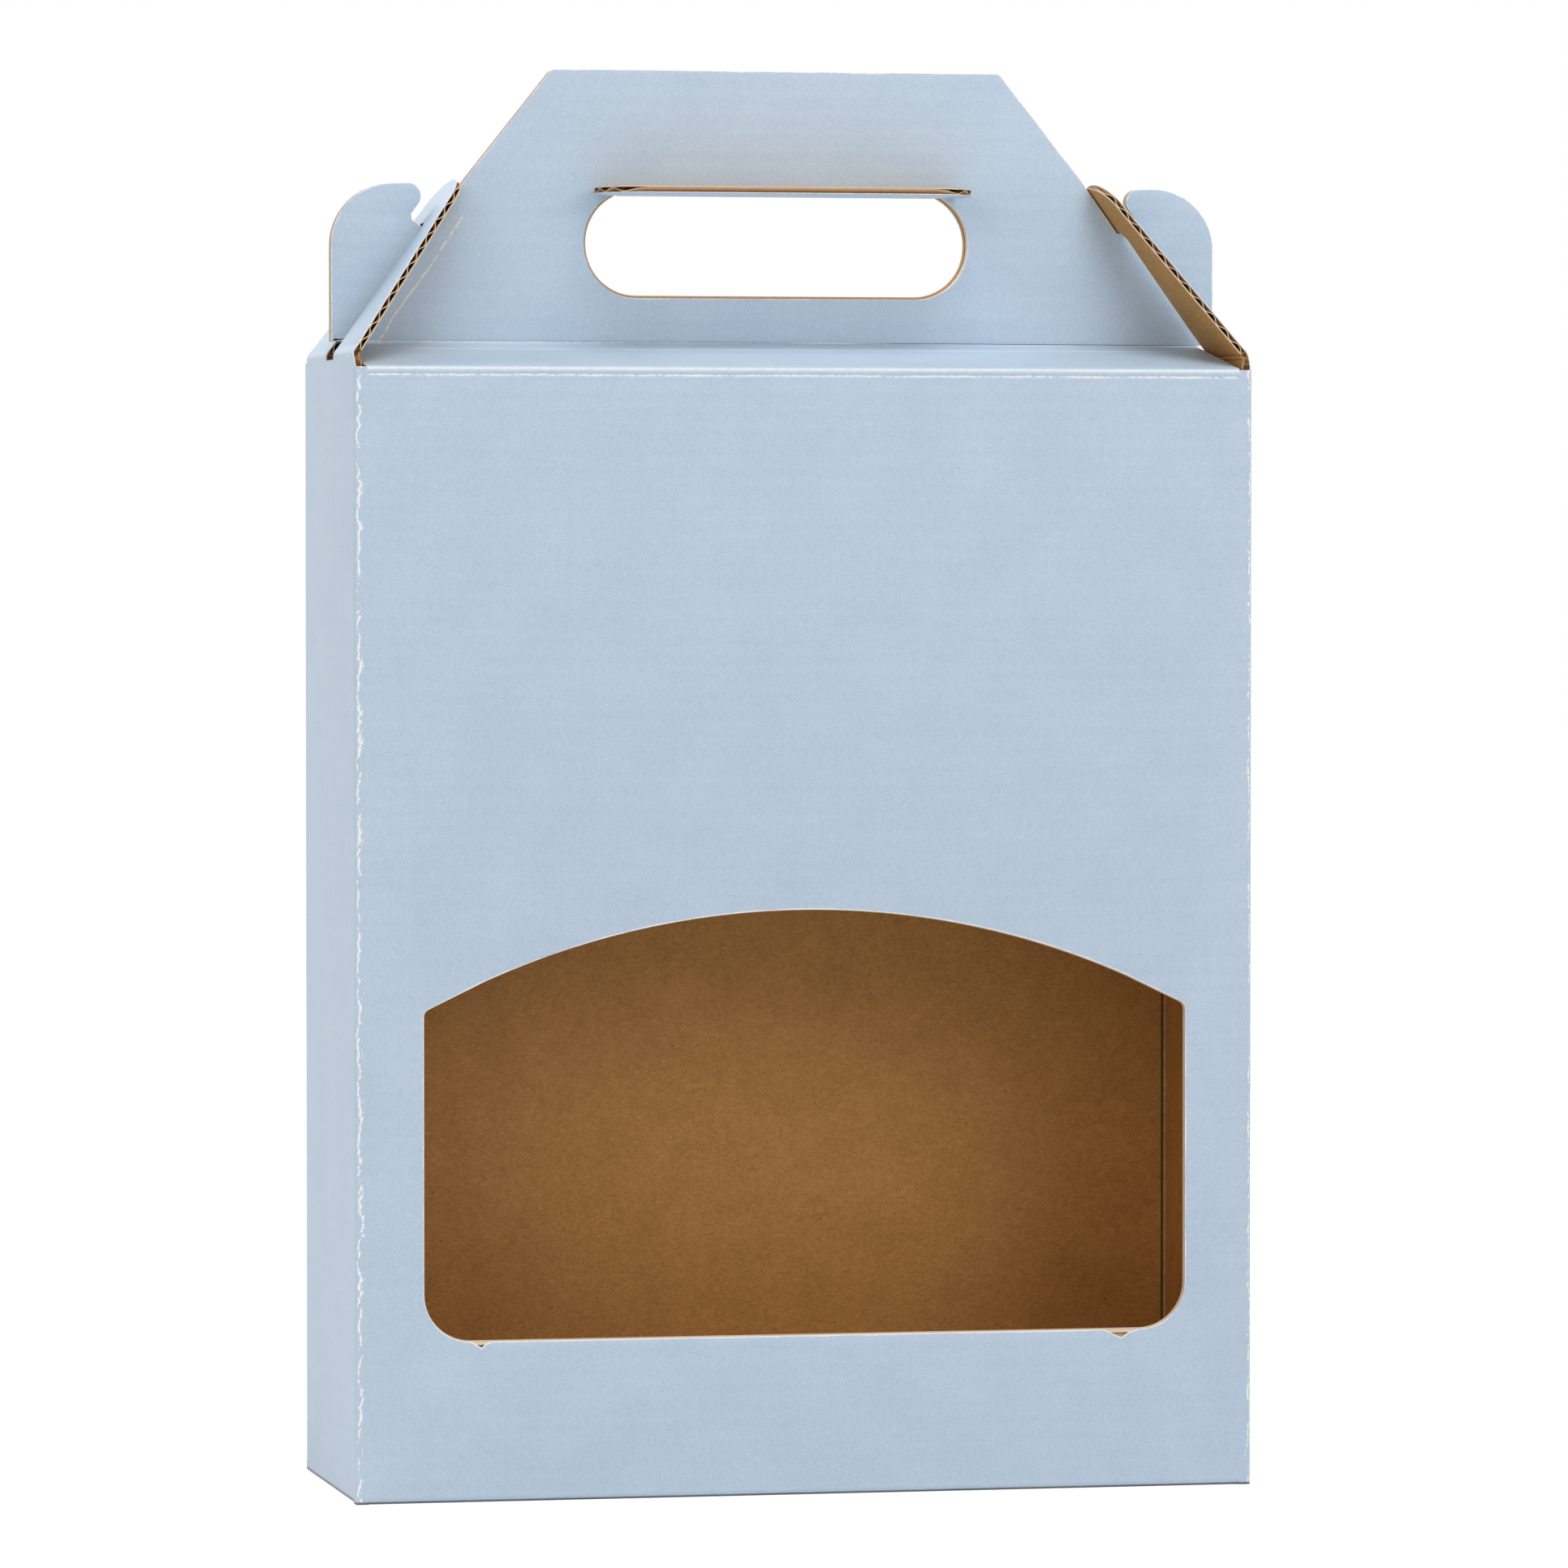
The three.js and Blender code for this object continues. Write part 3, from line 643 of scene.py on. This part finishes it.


class Fold:
    """The crease between two panels: its line, and the way from it into each panel.

    A crease is a scored line: the board is crushed along it, so the papers bend round a small radius.
    The print cracks beside the score and shows white, and inside the kraft paper bulges to a bead, with
    painted shade in the grooves beside it.
    A dropped fold lies below its panels' corner, where the second panel rests on another one.
    """

    def __init__(self, first, second, setbacks, radius=FOLD_RADIUS, drop=0.0, within=WHOLE_CREASE):
        a = Panel.known[first]
        b = Panel.known.get(second) or Panel(second, across=a.across)
        self.panels = [a, b]
        self.radius = radius
        self.along = a.out.cross(b.out).normalized()
        planes = np.array([a.out, b.out, self.along])
        self.corner = Vector(np.linalg.solve(planes, [a.height, b.height, 0]))
        self.inner = self.corner - (a.out + b.out) * BOARD / (1 + a.out @ b.out)
        if b.place is None:
            b.place = a.flat(self.corner) + a.place - b.flat(self.corner)
        sink = Vector((0, 0, -drop))
        self.into, self.setbacks, self.creases = [], [], []
        for panel, setback, lowered in ((a, setbacks[0], sink), (b, setbacks[1], Vector())):
            start = panel.flat(self.corner + lowered)
            way = panel.crease_way(panel.flat(self.corner), panel.flat(self.along), within)
            self.creases.append((start, way, setback, within))
            panel.folds.append(self.creases[-1])
            reach = panel.across * way[0] + panel.up * way[1]
            edge = reach * setback + lowered - sink
            self.into.append(edge.normalized())
            self.setbacks.append(edge.length)
        self.corner = self.corner + sink
        self.inner = self.inner + sink
        self.outs = [a.out, b.out]
        if drop:
            self.outs[1] = self.along.cross(self.into[1]).normalized()
            self.outs[1] *= math.copysign(1, self.outs[1] @ b.out)

    def spans(self, which):
        """Where the creased edges of one panel begin and end, along the fold."""
        panel = self.panels[which]
        start, way, setback, _ = self.creases[which]
        found = []
        for loop, _ in panel.trimmed():
            for near, far in zip(loop, np.roll(loop, -1, 0)):
                if all(abs((spot - start) @ way - setback) < ON_CREASE for spot in (near, far)):
                    found.append(sorted(panel.at(*spot, 0) @ self.along for spot in (near, far)))
        found.sort()
        merged = [found[0]]
        for low, high in found[1:]:
            if low - merged[-1][1] < ON_CREASE:
                merged[-1][1] = max(merged[-1][1], high)
            else:
                merged.append([low, high])
        return merged

    def outer(self, t):
        """A point of the printed side and its outward direction, t millimetres past the fold."""
        if abs(t) >= self.radius:
            side = 0 if t < 0 else 1
            return self.into[side] * abs(t), self.outs[side]
        share = (t + self.radius) / (2 * self.radius)
        point = self.into[0] * (1 - share) ** 2 + self.into[1] * share**2
        return point * self.radius, (self.outs[0] * (1 - share) + self.outs[1] * share).normalized()


def peak(t, marks, drift):
    """The strongest of the marks along a fold, each given as place, width, power and how far it wanders."""
    strongest = 0
    for at, width, power, sway in marks:
        mark = power * max(0, 1 - ((t - at - sway * drift) / width) ** 2)
        strongest = mark if abs(mark) > abs(strongest) else strongest
    return strongest


def add_fold(fold, name, cracks=(), rubs_and_painted_light=(), spans=None, bead=1.0, step=FOLD_STATION):
    """The bent strip of board along a fold, with the marks where its print is cracked, rubbed or painted with
    highlight or shadow, and its grooves painted with shade.
    """
    piece = Piece(name)
    a, b = fold.panels
    near, far = fold.setbacks
    radius = fold.radius
    flanks = [np.linspace(-near, -radius, FLANK_ROWS), np.linspace(radius, far, FLANK_ROWS)]
    bend = np.linspace(-radius, radius, BEND_ROWS)
    outer_at = np.unique(np.concatenate([*flanks, bend]).round(4))
    rows = len(outer_at)
    reach = [setback - (fold.inner - fold.corner) @ way for setback, way in zip(fold.setbacks, fold.into)]
    half = rows // 2
    inner_at = np.concatenate([np.linspace(-reach[0], 0, half + 1), np.linspace(0, reach[1], half + 1)[1:]])
    if spans is None:
        ends = fold.spans(0)[0]
        feet = fold.spans(1)
        spans = [(ends, feet[0])]
        if len(feet) > 1:
            spans = [([max(ends[0], low), min(ends[1], high)], [low, high]) for low, high in feet]
    for span in spans:
        count = max(2, round((span[1][1] - span[1][0]) / step))
        firsts = []
        for station in range(count + 1):
            ends = [low + (high - low) * station / count for low, high in span]
            middle = fold.corner + fold.along * sum(ends) / 2
            drift = sum(power * noise.noise(middle * scale) for scale, power in DRIFT_WAVES)
            # Upright folds are painted with the foot's contact shadow near the floor.
            foot_shadow = abs(fold.along.z) > UPRIGHT and middle.z < FOOT_SHADOW_HEIGHT
            points, sheet, wear_and_shade = [], [], []
            for t in outer_at:
                point, out = fold.outer(t)
                mix = max(0, t / far)
                line = fold.corner + fold.along * (ends[0] * (1 - mix) + ends[1] * mix)
                split = peak(t, cracks, drift)
                fade = max(0, 1 - abs(t) / (WOBBLE_SHARE * (near if t < 0 else far)))
                shake = -abs(noise.noise(line * WOBBLE_SCALE)) * FOLD_WOBBLE * fade
                points.append(line + point + out * (shake - SCORE_DEPTH * min(1, split)))
                sheet.append((*(a.flat(line) + a.place - a.flat(fold.into[0]) * t), 0))
                wear_and_shade.append((0, split, -1 if foot_shadow else peak(t, rubs_and_painted_light, drift)))
            for t in inner_at:
                side = 0 if t < 0 else 1
                out = fold.outs[side] if t else (fold.outs[0] + fold.outs[1]).normalized()
                mix = max(0, t / reach[1])
                line = fold.inner + fold.along * (ends[0] * (1 - mix) + ends[1] * mix)
                part = abs(t) / reach[side]
                swell = max(0, 1 - (part / BEAD_SHARE) ** 2)
                hollow = max(0, 1 - ((part - GROOVE_PLACE) / GROOVE_SHARE) ** 2)
                lift = (BEAD_HEIGHT * swell - GROOVE_DEPTH * hollow) * bead
                points.append(line + fold.into[side] * abs(t) - out * lift)
                sheet.append((*(a.flat(line) + a.place - a.flat(fold.into[0]) * t), 0))
                # The grooves beside the bead are painted with shade.
                wear_and_shade.append((0, hollow * bead, 0))
            for out, into in ((rows - 1, 2 * rows - 1), (0, rows)):
                points.extend(points[out] * (1 - share) + points[into] * share for share in FOLD_LAYERS)
                sheet.extend([sheet[out]] * 2)
                wear_and_shade.extend([(0, 0, 0)] * 2)
            firsts.append(piece.corners(points, sheet, wear_and_shade))
        inner_side = range(2 * rows - 1, rows - 1, -1)
        ring = [*range(rows), 2 * rows, 2 * rows + 1, *inner_side, 2 * rows + 3, 2 * rows + 2]
        for then, now in zip(firsts, firsts[1:]):
            for i, j in zip(ring, ring[1:] + ring[:1]):
                printed = i < rows and j < rows
                piece.face([then + i, then + j, now + j, now + i], PRINT if printed else KRAFT, True)
        for first, order in ((firsts[0], -1), (firsts[-1], 1)):
            add_fold_end(piece, first, rows, order)
    made = piece.build()
    if fold.into[0].cross(fold.outs[0]) @ fold.along < 0:
        made.data.flip_normals()
    if a.body == b.body:
        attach(made, a.body)
    else:
        start = (fold.corner + fold.into[0] * near * BLEND_SHARE) * MILLIMETRE
        end = (fold.corner + fold.into[1] * far * BLEND_SHARE) * MILLIMETRE
        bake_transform(made)


def add_fold_end(piece, first, rows, order):
    """The cut end of a fold: the edges of the two flat papers, and the crushed flutes between them, painted
    dark with shade.
    """
    lines = [[first + i for i in range(rows)]]
    for layer, share in enumerate(FOLD_LAYERS):
        pairs = [(first + i, first + rows + i) for i in range(1, rows - 1)]
        points = [piece.points[out] * (1 - share) + piece.points[into] * share for out, into in pairs]
        start = piece.corners(points, [piece.sheet[out] for out, _ in pairs], [(0, 0, 0)] * len(pairs))
        between = [start + i for i in range(len(pairs))]
        lines.append([first + 2 * rows + 2 + layer, *between, first + 2 * rows + layer])
    lines.append([first + rows + i for i in range(rows)])
    for upper, lower, paper in zip(lines, lines[1:], (BARE, FLUTE_SHADE, KRAFT)):
        for i in range(rows - 1):
            ring = [upper[i], upper[i + 1], lower[i + 1], lower[i]]
            piece.face(ring[::order], paper)


CORNER_SETBACK = 3.0  # width of the fold on each wall
TOP_SETBACK = 2.6  # the same at the top of the front and the back
LOCK_SETBACK = 1.4  # the same at the top of the sides
FLOOR_SETBACK = 2.6  # the same at the foot
FLOOR_RADIUS = 1.6  # softer bend of the front and back foot, which the box stands on
SIDE_DROP = 1.9  # the inner base flaps lie this much above the foot
WINDOW_SHOULDER = (91.6, 115.1)  # where the window's sides meet its arch
SHOULDER_NEAR = 3.0  # its outline is drawn in to the corner from this distance
SHOULDER_SHARE = 0.45  # to this share of the distance
SILL_LEAST = 100  # the sill is the one level edge that is longer
SILL_TEARS = ((76.2, 8.4, 2.0), (-78.2, 4.4, 1.5))  # place, width and depth
TEAR_SHAPE = ((0.5, 0), (0.22, 0.35), (0.0, 1.0), (-0.12, 0.75), (-0.5, 0))  # shares of width and depth
TORN = 1.8  # fraying of a tear, beside a plain cut's 1
WINDOW_FRAY = 1.25
CROWN_FRAY = 1.65  # upper part of the window's edge
CROWN_FROM = 130  # height where that begins


def torn_sill(loops):
    """The printed paper frayed round the window, and torn away in small notches at the ends of its sill."""
    torn = loops[:1]
    for loop, cuts in loops[1:]:
        points, kept = [], []
        for i in range(len(loop)):
            points.append(loop[i])
            kept.append(cuts[i] * (CROWN_FRAY if loop[i][1] > CROWN_FROM else WINDOW_FRAY))
            ahead = loop[(i + 1) % len(loop)]
            if loop[i][0] - ahead[0] > SILL_LEAST:
                for at, width, depth in SILL_TEARS:
                    for share, drop in TEAR_SHAPE:
                        points.append(np.array([at + share * width, loop[i][1] - drop * depth]))
                        kept.append(TORN)
        torn.append((np.array(points), np.array(kept)))
    return torn


def upright(fold, first, second):
    """The heights between which an upright fold runs on its two panels, as spans along it."""
    turned = fold.along.z < 0
    return [tuple([-high, -low] if turned else [low, high] for low, high in (first, second))]


window = Panel("front_panel", place=np.zeros(2)).loops[1]
for side in (-1, 1):
    shoulder = np.array(WINDOW_SHOULDER) * (side, 1)
    near = np.linalg.norm(window - shoulder, axis=1) < SHOULDER_NEAR
    window[near] = shoulder + (window[near] - shoulder) * SHOULDER_SHARE

corner_setbacks = (CORNER_SETBACK, CORNER_SETBACK)
floor_setbacks = (FLOOR_SETBACK, FLOOR_SETBACK)
front_left = Fold("front_panel", "left_panel", corner_setbacks)
front_right = Fold("front_panel", "right_panel", corner_setbacks)
back_right = Fold("right_panel", "back_panel", corner_setbacks)
seam = Fold("back_panel", "glue_tab", corner_setbacks)
front_floor = Fold("front_panel", "base_front_flap", floor_setbacks, FLOOR_RADIUS)
back_floor = Fold("back_panel", "base_back_flap", floor_setbacks, FLOOR_RADIUS)
left_floor = Fold("left_panel", "base_left_flap", floor_setbacks, drop=SIDE_DROP)
right_floor = Fold("right_panel", "base_right_flap", floor_setbacks, drop=SIDE_DROP)
front_top = Fold("front_panel", "front_top_panel", (TOP_SETBACK, TOP_SETBACK))
back_top = Fold("back_panel", "back_top_panel", (TOP_SETBACK, TOP_SETBACK))
left_lock = Fold("left_panel", "left_lock_flap", (LOCK_SETBACK, LOCK_SETBACK))
right_lock = Fold("right_panel", "right_lock_flap", (LOCK_SETBACK, LOCK_SETBACK))

add_board("front_panel", "front_wall", tear=torn_sill)
add_board("right_panel", "right_wall")
add_board("back_panel", "back_wall")
add_board("left_panel", "left_wall")
add_board("glue_tab", "seam_tab")

WALL_HEIGHTS = (0.1, 265.9)  # foot and top of a fold on the front and the back
SIDE_HEIGHTS = (0.1, 269.4)  # the same on a side wall
SEAM_HEIGHTS = (8.2, 257.8)  # the same on the seam tab
CORNER_BEAD = 1.8  # stronger bead of the corner that is seen through the window
# Rubbed print and painted highlight along a corner's ridge.
CORNER_RUB_HIGHLIGHT = [(0, 0.7, 0.2, 0)]  # place, width, power and sway, as for all marks on folds
FRONT_LEFT_CRACKS = [(-0.85, 0.8, 1.08, 0.95), (-1.75, 0.35, 0.86, 0.6), (1.7, 0.3, 0.78, 0.05)]
FRONT_RIGHT_CRACKS = [(-0.5, 0.75, 0.97, 0.6)]
BACK_RIGHT_CRACKS = [(0.6, 0.8, 0.95, 0.4)]
SEAM_CRACKS = [(-0.5, 0.8, 0.9, 0.3)]

spans = upright(front_left, WALL_HEIGHTS, SIDE_HEIGHTS)
add_fold(front_left, "front_left_corner", FRONT_LEFT_CRACKS, CORNER_RUB_HIGHLIGHT, spans)
spans = upright(front_right, WALL_HEIGHTS, SIDE_HEIGHTS)
add_fold(front_right, "front_right_corner", FRONT_RIGHT_CRACKS, CORNER_RUB_HIGHLIGHT, spans)
spans = upright(back_right, SIDE_HEIGHTS, WALL_HEIGHTS)
add_fold(back_right, "back_right_corner", BACK_RIGHT_CRACKS, CORNER_RUB_HIGHLIGHT, spans, CORNER_BEAD)
spans = upright(seam, WALL_HEIGHTS, SEAM_HEIGHTS)
add_fold(seam, "seam_corner", SEAM_CRACKS, CORNER_RUB_HIGHLIGHT, spans)


# Base
# Two hooked flaps of the same board close the bottom in one layer, and two inner flaps lie on them. The
# corners of the hooked flaps are glued to the inner flaps, so the base opens as the tube is squared up.

FLOOR_STATION = 3.0
STANDING_SHADOW = [(0.7, 1.4, -1, 0.05)]  # a power below zero paints the dark contact shadow along the foot
SIDE_FOOT_SHADOW = [(0.2, 1.6, -1, 0.05)]

for side in ("front", "back"):
    hooked = Panel.known[f"base_{side}_flap"]
    corner = Panel(f"base_{side}_glue_corner", hooked.place, across=hooked.across)
    slant = np.array([1.0, 1.0]) / math.sqrt(2)
    for panel, way in ((hooked, slant), (corner, -slant)):
        spread = panel.loops[0] @ slant
        edge = spread.min() if panel is hooked else spread.max()
        panel.folds.append((slant * edge, way, 0.0, WHOLE_CREASE))
    add_board(f"base_{side}_flap", f"{side}_base_flap")
    add_board(f"base_{side}_glue_corner", f"{side}_base_glue_corner")
add_board("base_left_flap", "left_base_flap")
add_board("base_right_flap", "right_base_flap")
add_fold(front_floor, "front_floor_fold", rubs_and_painted_light=STANDING_SHADOW, step=FLOOR_STATION)
add_fold(back_floor, "back_floor_fold", rubs_and_painted_light=STANDING_SHADOW, step=FLOOR_STATION)
add_fold(left_floor, "left_floor_fold", rubs_and_painted_light=SIDE_FOOT_SHADOW, step=FLOOR_STATION)
add_fold(right_floor, "right_floor_fold", rubs_and_painted_light=SIDE_FOOT_SHADOW, step=FLOOR_STATION)


# Gable top
# Two shallow slopes of the same board close the box. Each is creased to the top of a wall, and its other
# edge is creased too and turns up into a layer of the handle.

HANDLE_FOLD_RADIUS = 0.4
HANDLE_SETBACKS = (1.6, 0.6)  # width of the fold on the slope and on the handle
HANDLE_FOLD_HALF = 104.0  # half its length, beyond it the ears begin
EAR_STEP = 0.2  # half of the step between the two
TOP_CRACKS = [(-1.9, 0.5, 1.1, 0.12), (1.6, 0.4, 0.8, 0.1)]
# Rubbed print and painted highlight along the top ridges.
FRONT_TOP_RUB_HIGHLIGHT = [(-0.3, 0.75, 0.75, 0)]
BACK_TOP_RUB_HIGHLIGHT = [(-0.3, 0.75, 0.6, 0)]


def eared(loop):
    """The handle's outline, with its straight foot parted into the crease and the undersides of the ears."""
    points = []
    for spot, ahead in zip(loop, np.roll(loop, -1, 0)):
        points.append(spot)
        if ahead[0] - spot[0] > 2 * HANDLE_FOLD_HALF:
            for half in (-HANDLE_FOLD_HALF, HANDLE_FOLD_HALF):
                points.extend(np.array([half + step, spot[1]]) for step in (-EAR_STEP, EAR_STEP))
    return np.array(points)


for side in ("front", "back"):
    layer = Panel(f"{side}_handle_panel")
    layer.loops[0] = eared(layer.loops[0])
rise = {"setbacks": HANDLE_SETBACKS, "radius": HANDLE_FOLD_RADIUS, "within": HANDLE_FOLD_HALF}
front_rise = Fold("front_top_panel", "front_handle_panel", **rise)
back_rise = Fold("back_top_panel", "back_handle_panel", **rise)
add_board("front_top_panel", "front_top")
add_board("back_top_panel", "back_top")
add_fold(front_top, "front_top_fold", TOP_CRACKS, FRONT_TOP_RUB_HIGHLIGHT)
add_fold(back_top, "back_top_fold", TOP_CRACKS, BACK_TOP_RUB_HIGHLIGHT)


# Handle
# Two layers of the same board stand back to back, each creased to a slope of the top. Both are cut with an
# ear at each end, a notch between the ear and the middle, and a hand hole.

GRIP_SETBACK = 2.1  # width of the grip fold on the handle and on the flap
GRIP_FOLD_HALF = 60  # more than half its length, and less than half the handle's
HOLE_SPREAD = 0.55  # how much larger the front hole is all round
HOLE_LIFT = 1.1  # and how much more at the top
HOLE_TOP_BAND = 0.1
HANDLE_CRACKS = [(-1.2, 0.4, 0.85, 0.1), (0.3, 0.3, 0.95, 0)]
# Rubbed print and painted highlight along the handle's creases.
HANDLE_RUB_HIGHLIGHT = [(-1.2, 0.5, 0.25, 0), (0.3, 0.4, 0.25, 0)]


def front_hole(hole):
    """The front layer's hole: the back layer's hole seen from the other side, a little larger all round."""
    turned = hole[::-1] * (-1, 1)
    turned[turned[:, 1] > hole[:, 1].max() - HOLE_TOP_BAND, 1] += HOLE_LIFT
    return moved(turned, np.full(len(turned), HOLE_SPREAD))


back_handle = Panel.known["back_handle_panel"]
front_handle = Panel.known["front_handle_panel"]
front_handle.loops[1] = front_hole(back_handle.loops[1])
Panel("grip_flap", out=(0, 0, -1), across=back_handle.across)
grip_setbacks = (GRIP_SETBACK, GRIP_SETBACK)
grip_fold = Fold("back_handle_panel", "grip_flap", grip_setbacks, within=GRIP_FOLD_HALF)
add_board("front_handle_panel", "front_handle")
add_board("back_handle_panel", "back_handle")
add_fold(front_rise, "front_handle_fold", HANDLE_CRACKS, HANDLE_RUB_HIGHLIGHT)
add_fold(back_rise, "back_handle_fold", HANDLE_CRACKS, HANDLE_RUB_HIGHLIGHT)


# Grip flap
# The tongue cut from the back layer's hand hole stays on by a crease along its top edge. It is pushed through
# the front layer's hole and pads the hand.

GRIP_BEAD = 0.3

add_board("grip_flap", "grip_flap_board")
add_fold(grip_fold, "grip_fold", bead=GRIP_BEAD)


# Lock flaps
# A slotted flap of the same board is creased to the top of each side wall. It leans in over the ears, which
# stand in its slot, and so holds the closed handle together.

SLOT_HALF = 5.0  # more than half the width of the slot's end
SLOT_LENGTH = 38.5  # from the crease to the slot's end
TIP_HALF = 15.9  # half the width of the round tip
TIP_FOOT = 43.35  # from the crease to where the round begins
TIP_HEIGHT = 7.9
TIP_STEPS = 24
LOCK_BEAD = 0.5
LOCK_CRACKS = [(-0.9, 0.5, 0.85, 0.1)]
# Rubbed print and painted highlight along the lock flaps' creases.
LOCK_RUB_HIGHLIGHT = [(0, 0.8, 0.3, 0)]


def round_tip(outline, foot):
    """The flap's outline with the two corners of its end run into one round."""
    first = int(np.argmax(np.where(outline[:, 1] > foot + TIP_FOOT, outline[:, 0], -np.inf)))
    around = np.roll(outline, -first, 0)
    sides = around[(around[:, 1] < foot + TIP_FOOT) | (np.abs(around[:, 0]) < SLOT_HALF)]
    turns = np.linspace(0, math.pi, TIP_STEPS + 1)
    arc = np.stack([TIP_HALF * np.cos(turns), foot + TIP_FOOT + TIP_HEIGHT * np.sin(turns)], 1)
    return np.concatenate([arc, sides])


for side, fold in (("left", left_lock), ("right", right_lock)):
    panel = Panel.known[f"{side}_lock_flap"]
    outline = panel.loops[0]
    foot = fold.creases[1][0][1]
    slot_end = (np.abs(outline[:, 0]) < SLOT_HALF) & (outline[:, 1] > foot + SLOT_LENGTH)
    outline[slot_end, 1] += foot + SLOT_LENGTH - outline[slot_end, 1].max()
    panel.loops[0] = round_tip(outline, foot)
    add_board(f"{side}_lock_flap", f"{side}_lock")
add_fold(left_lock, "left_lock_fold", LOCK_CRACKS, LOCK_RUB_HIGHLIGHT, bead=LOCK_BEAD)
add_fold(right_lock, "right_lock_fold", LOCK_CRACKS, LOCK_RUB_HIGHLIGHT, bead=LOCK_BEAD)


# Stage
# A plain white floor and soft studio light, and the camera where the photograph was taken from. The floor is
# whitened for the camera, but keeps the box's shadow. Sizes in this section are metres.

FLOOR_HALF = 8.0
FLOOR_GREY = (0.85, 0.85, 0.85, 1)
FLOOR_GLOW = 1.28
FLOOR_WHITENED = 0.72  # share of the glow in what the camera sees of the floor
FOOTPRINT = ((0.104, 0.1075), (0.034, 0.0375))  # across and in depth, the glow sets in at the box's foot
SKY = 0.35  # strength of the light from all round
SOFTBOX_SIZE = 1.2
SOFTBOX_AIM = Vector((0, 0, 0.16))
SOFTBOXES = (
    ("top_softbox", (0.2, -0.6, 2.2), 22.4),
    ("right_softbox", (1.0, -2.2, 1.1), 11.5),
    ("left_softbox", (-1.3, -1.9, 1.2), 7.7),
    ("back_softbox", (-0.9, 1.0, 1.6), 16),
)
CAMERA_PLACE = (-0.4204, -2.0001, 0.2245)
CAMERA_DIP = 1.613  # degrees below level
CAMERA_TURN = -11.93  # degrees
CAMERA_LENS = 195.56  # millimetres, like the sensor's width
CAMERA_SENSOR = 36
CAMERA_RANGE = (0.1, 50)


def shown(start):
    """Where the backdrop itself is shown: to the camera, in a gloss and through a clear piece."""
    rays = [start.add("LightPath", {}, {}, f"Is {kind} Ray") for kind in ("Camera", "Glossy", "Transmission")]
    return rays[0].larger(rays[1]).larger(rays[2])


floor_mesh = bpy.data.meshes.new("floor")
floor_corners = [(x * FLOOR_HALF, y * FLOOR_HALF, 0) for x, y in ((-1, -1), (1, -1), (1, 1), (-1, 1))]
floor_mesh.from_pydata(floor_corners, [], [(0, 1, 2, 3)])
floor = bpy.data.objects.new("floor", floor_mesh)
bpy.context.scene.collection.objects.link(floor)

floor_paint = bpy.data.materials.new("floor_paint")
floor_paint.use_nodes = True
floor_mesh.materials.append(floor_paint)
tree = floor_paint.node_tree
floor_shader = tree.nodes["Principled BSDF"]
floor_shader.inputs["Base Color"].default_value = FLOOR_GREY
floor_shader.inputs["Roughness"].default_value = 1.0
floor_shader.inputs["Specular IOR Level"].default_value = 0.0
start = Tone(tree)
glow = start.add("Emission", {}, {"Color": (1, 1, 1, 1), "Strength": FLOOR_GLOW})
spot = start.add("TexCoord", {}, {}, "Object")
beside, before = (spot.part(axis).magnitude().ramp(*edge) for axis, edge in enumerate(FOOTPRINT))
white = shown(start) * beside.larger(before) * FLOOR_WHITENED
mixed = start.add("MixShader", {}, {0: white, 1: Tone(tree, floor_shader.outputs[0]), 2: glow})
tree.links.new(mixed.socket, tree.nodes["Material Output"].inputs["Surface"])

world = bpy.data.worlds.new("studio")
bpy.context.scene.world = world
world.use_nodes = True
tree = world.node_tree
light = SKY + shown(Tone(tree)) * (1 - SKY)
tree.links.new(light.socket, tree.nodes["Background"].inputs["Strength"])
tree.nodes["Background"].inputs["Color"].default_value = (1, 1, 1, 1)

for name, place, power in SOFTBOXES:
    lamp = bpy.data.lights.new(name, "AREA")
    lamp.shape = "SQUARE"
    lamp.size = SOFTBOX_SIZE
    lamp.energy = power
    softbox = bpy.data.objects.new(name, lamp)
    bpy.context.scene.collection.objects.link(softbox)
    softbox.location = place
    softbox.rotation_euler = (SOFTBOX_AIM - Vector(place)).to_track_quat("-Z", "Y").to_euler()

camera = bpy.data.objects.new("camera", bpy.data.cameras.new("camera"))
bpy.context.scene.collection.objects.link(camera)
camera.location = CAMERA_PLACE
camera.rotation_euler = (math.radians(90 - CAMERA_DIP), 0, math.radians(CAMERA_TURN))
camera.data.sensor_width = CAMERA_SENSOR
camera.data.lens = CAMERA_LENS
camera.data.clip_start, camera.data.clip_end = CAMERA_RANGE
bpy.context.scene.camera = camera
bpy.context.scene.view_settings.view_transform = "Standard"
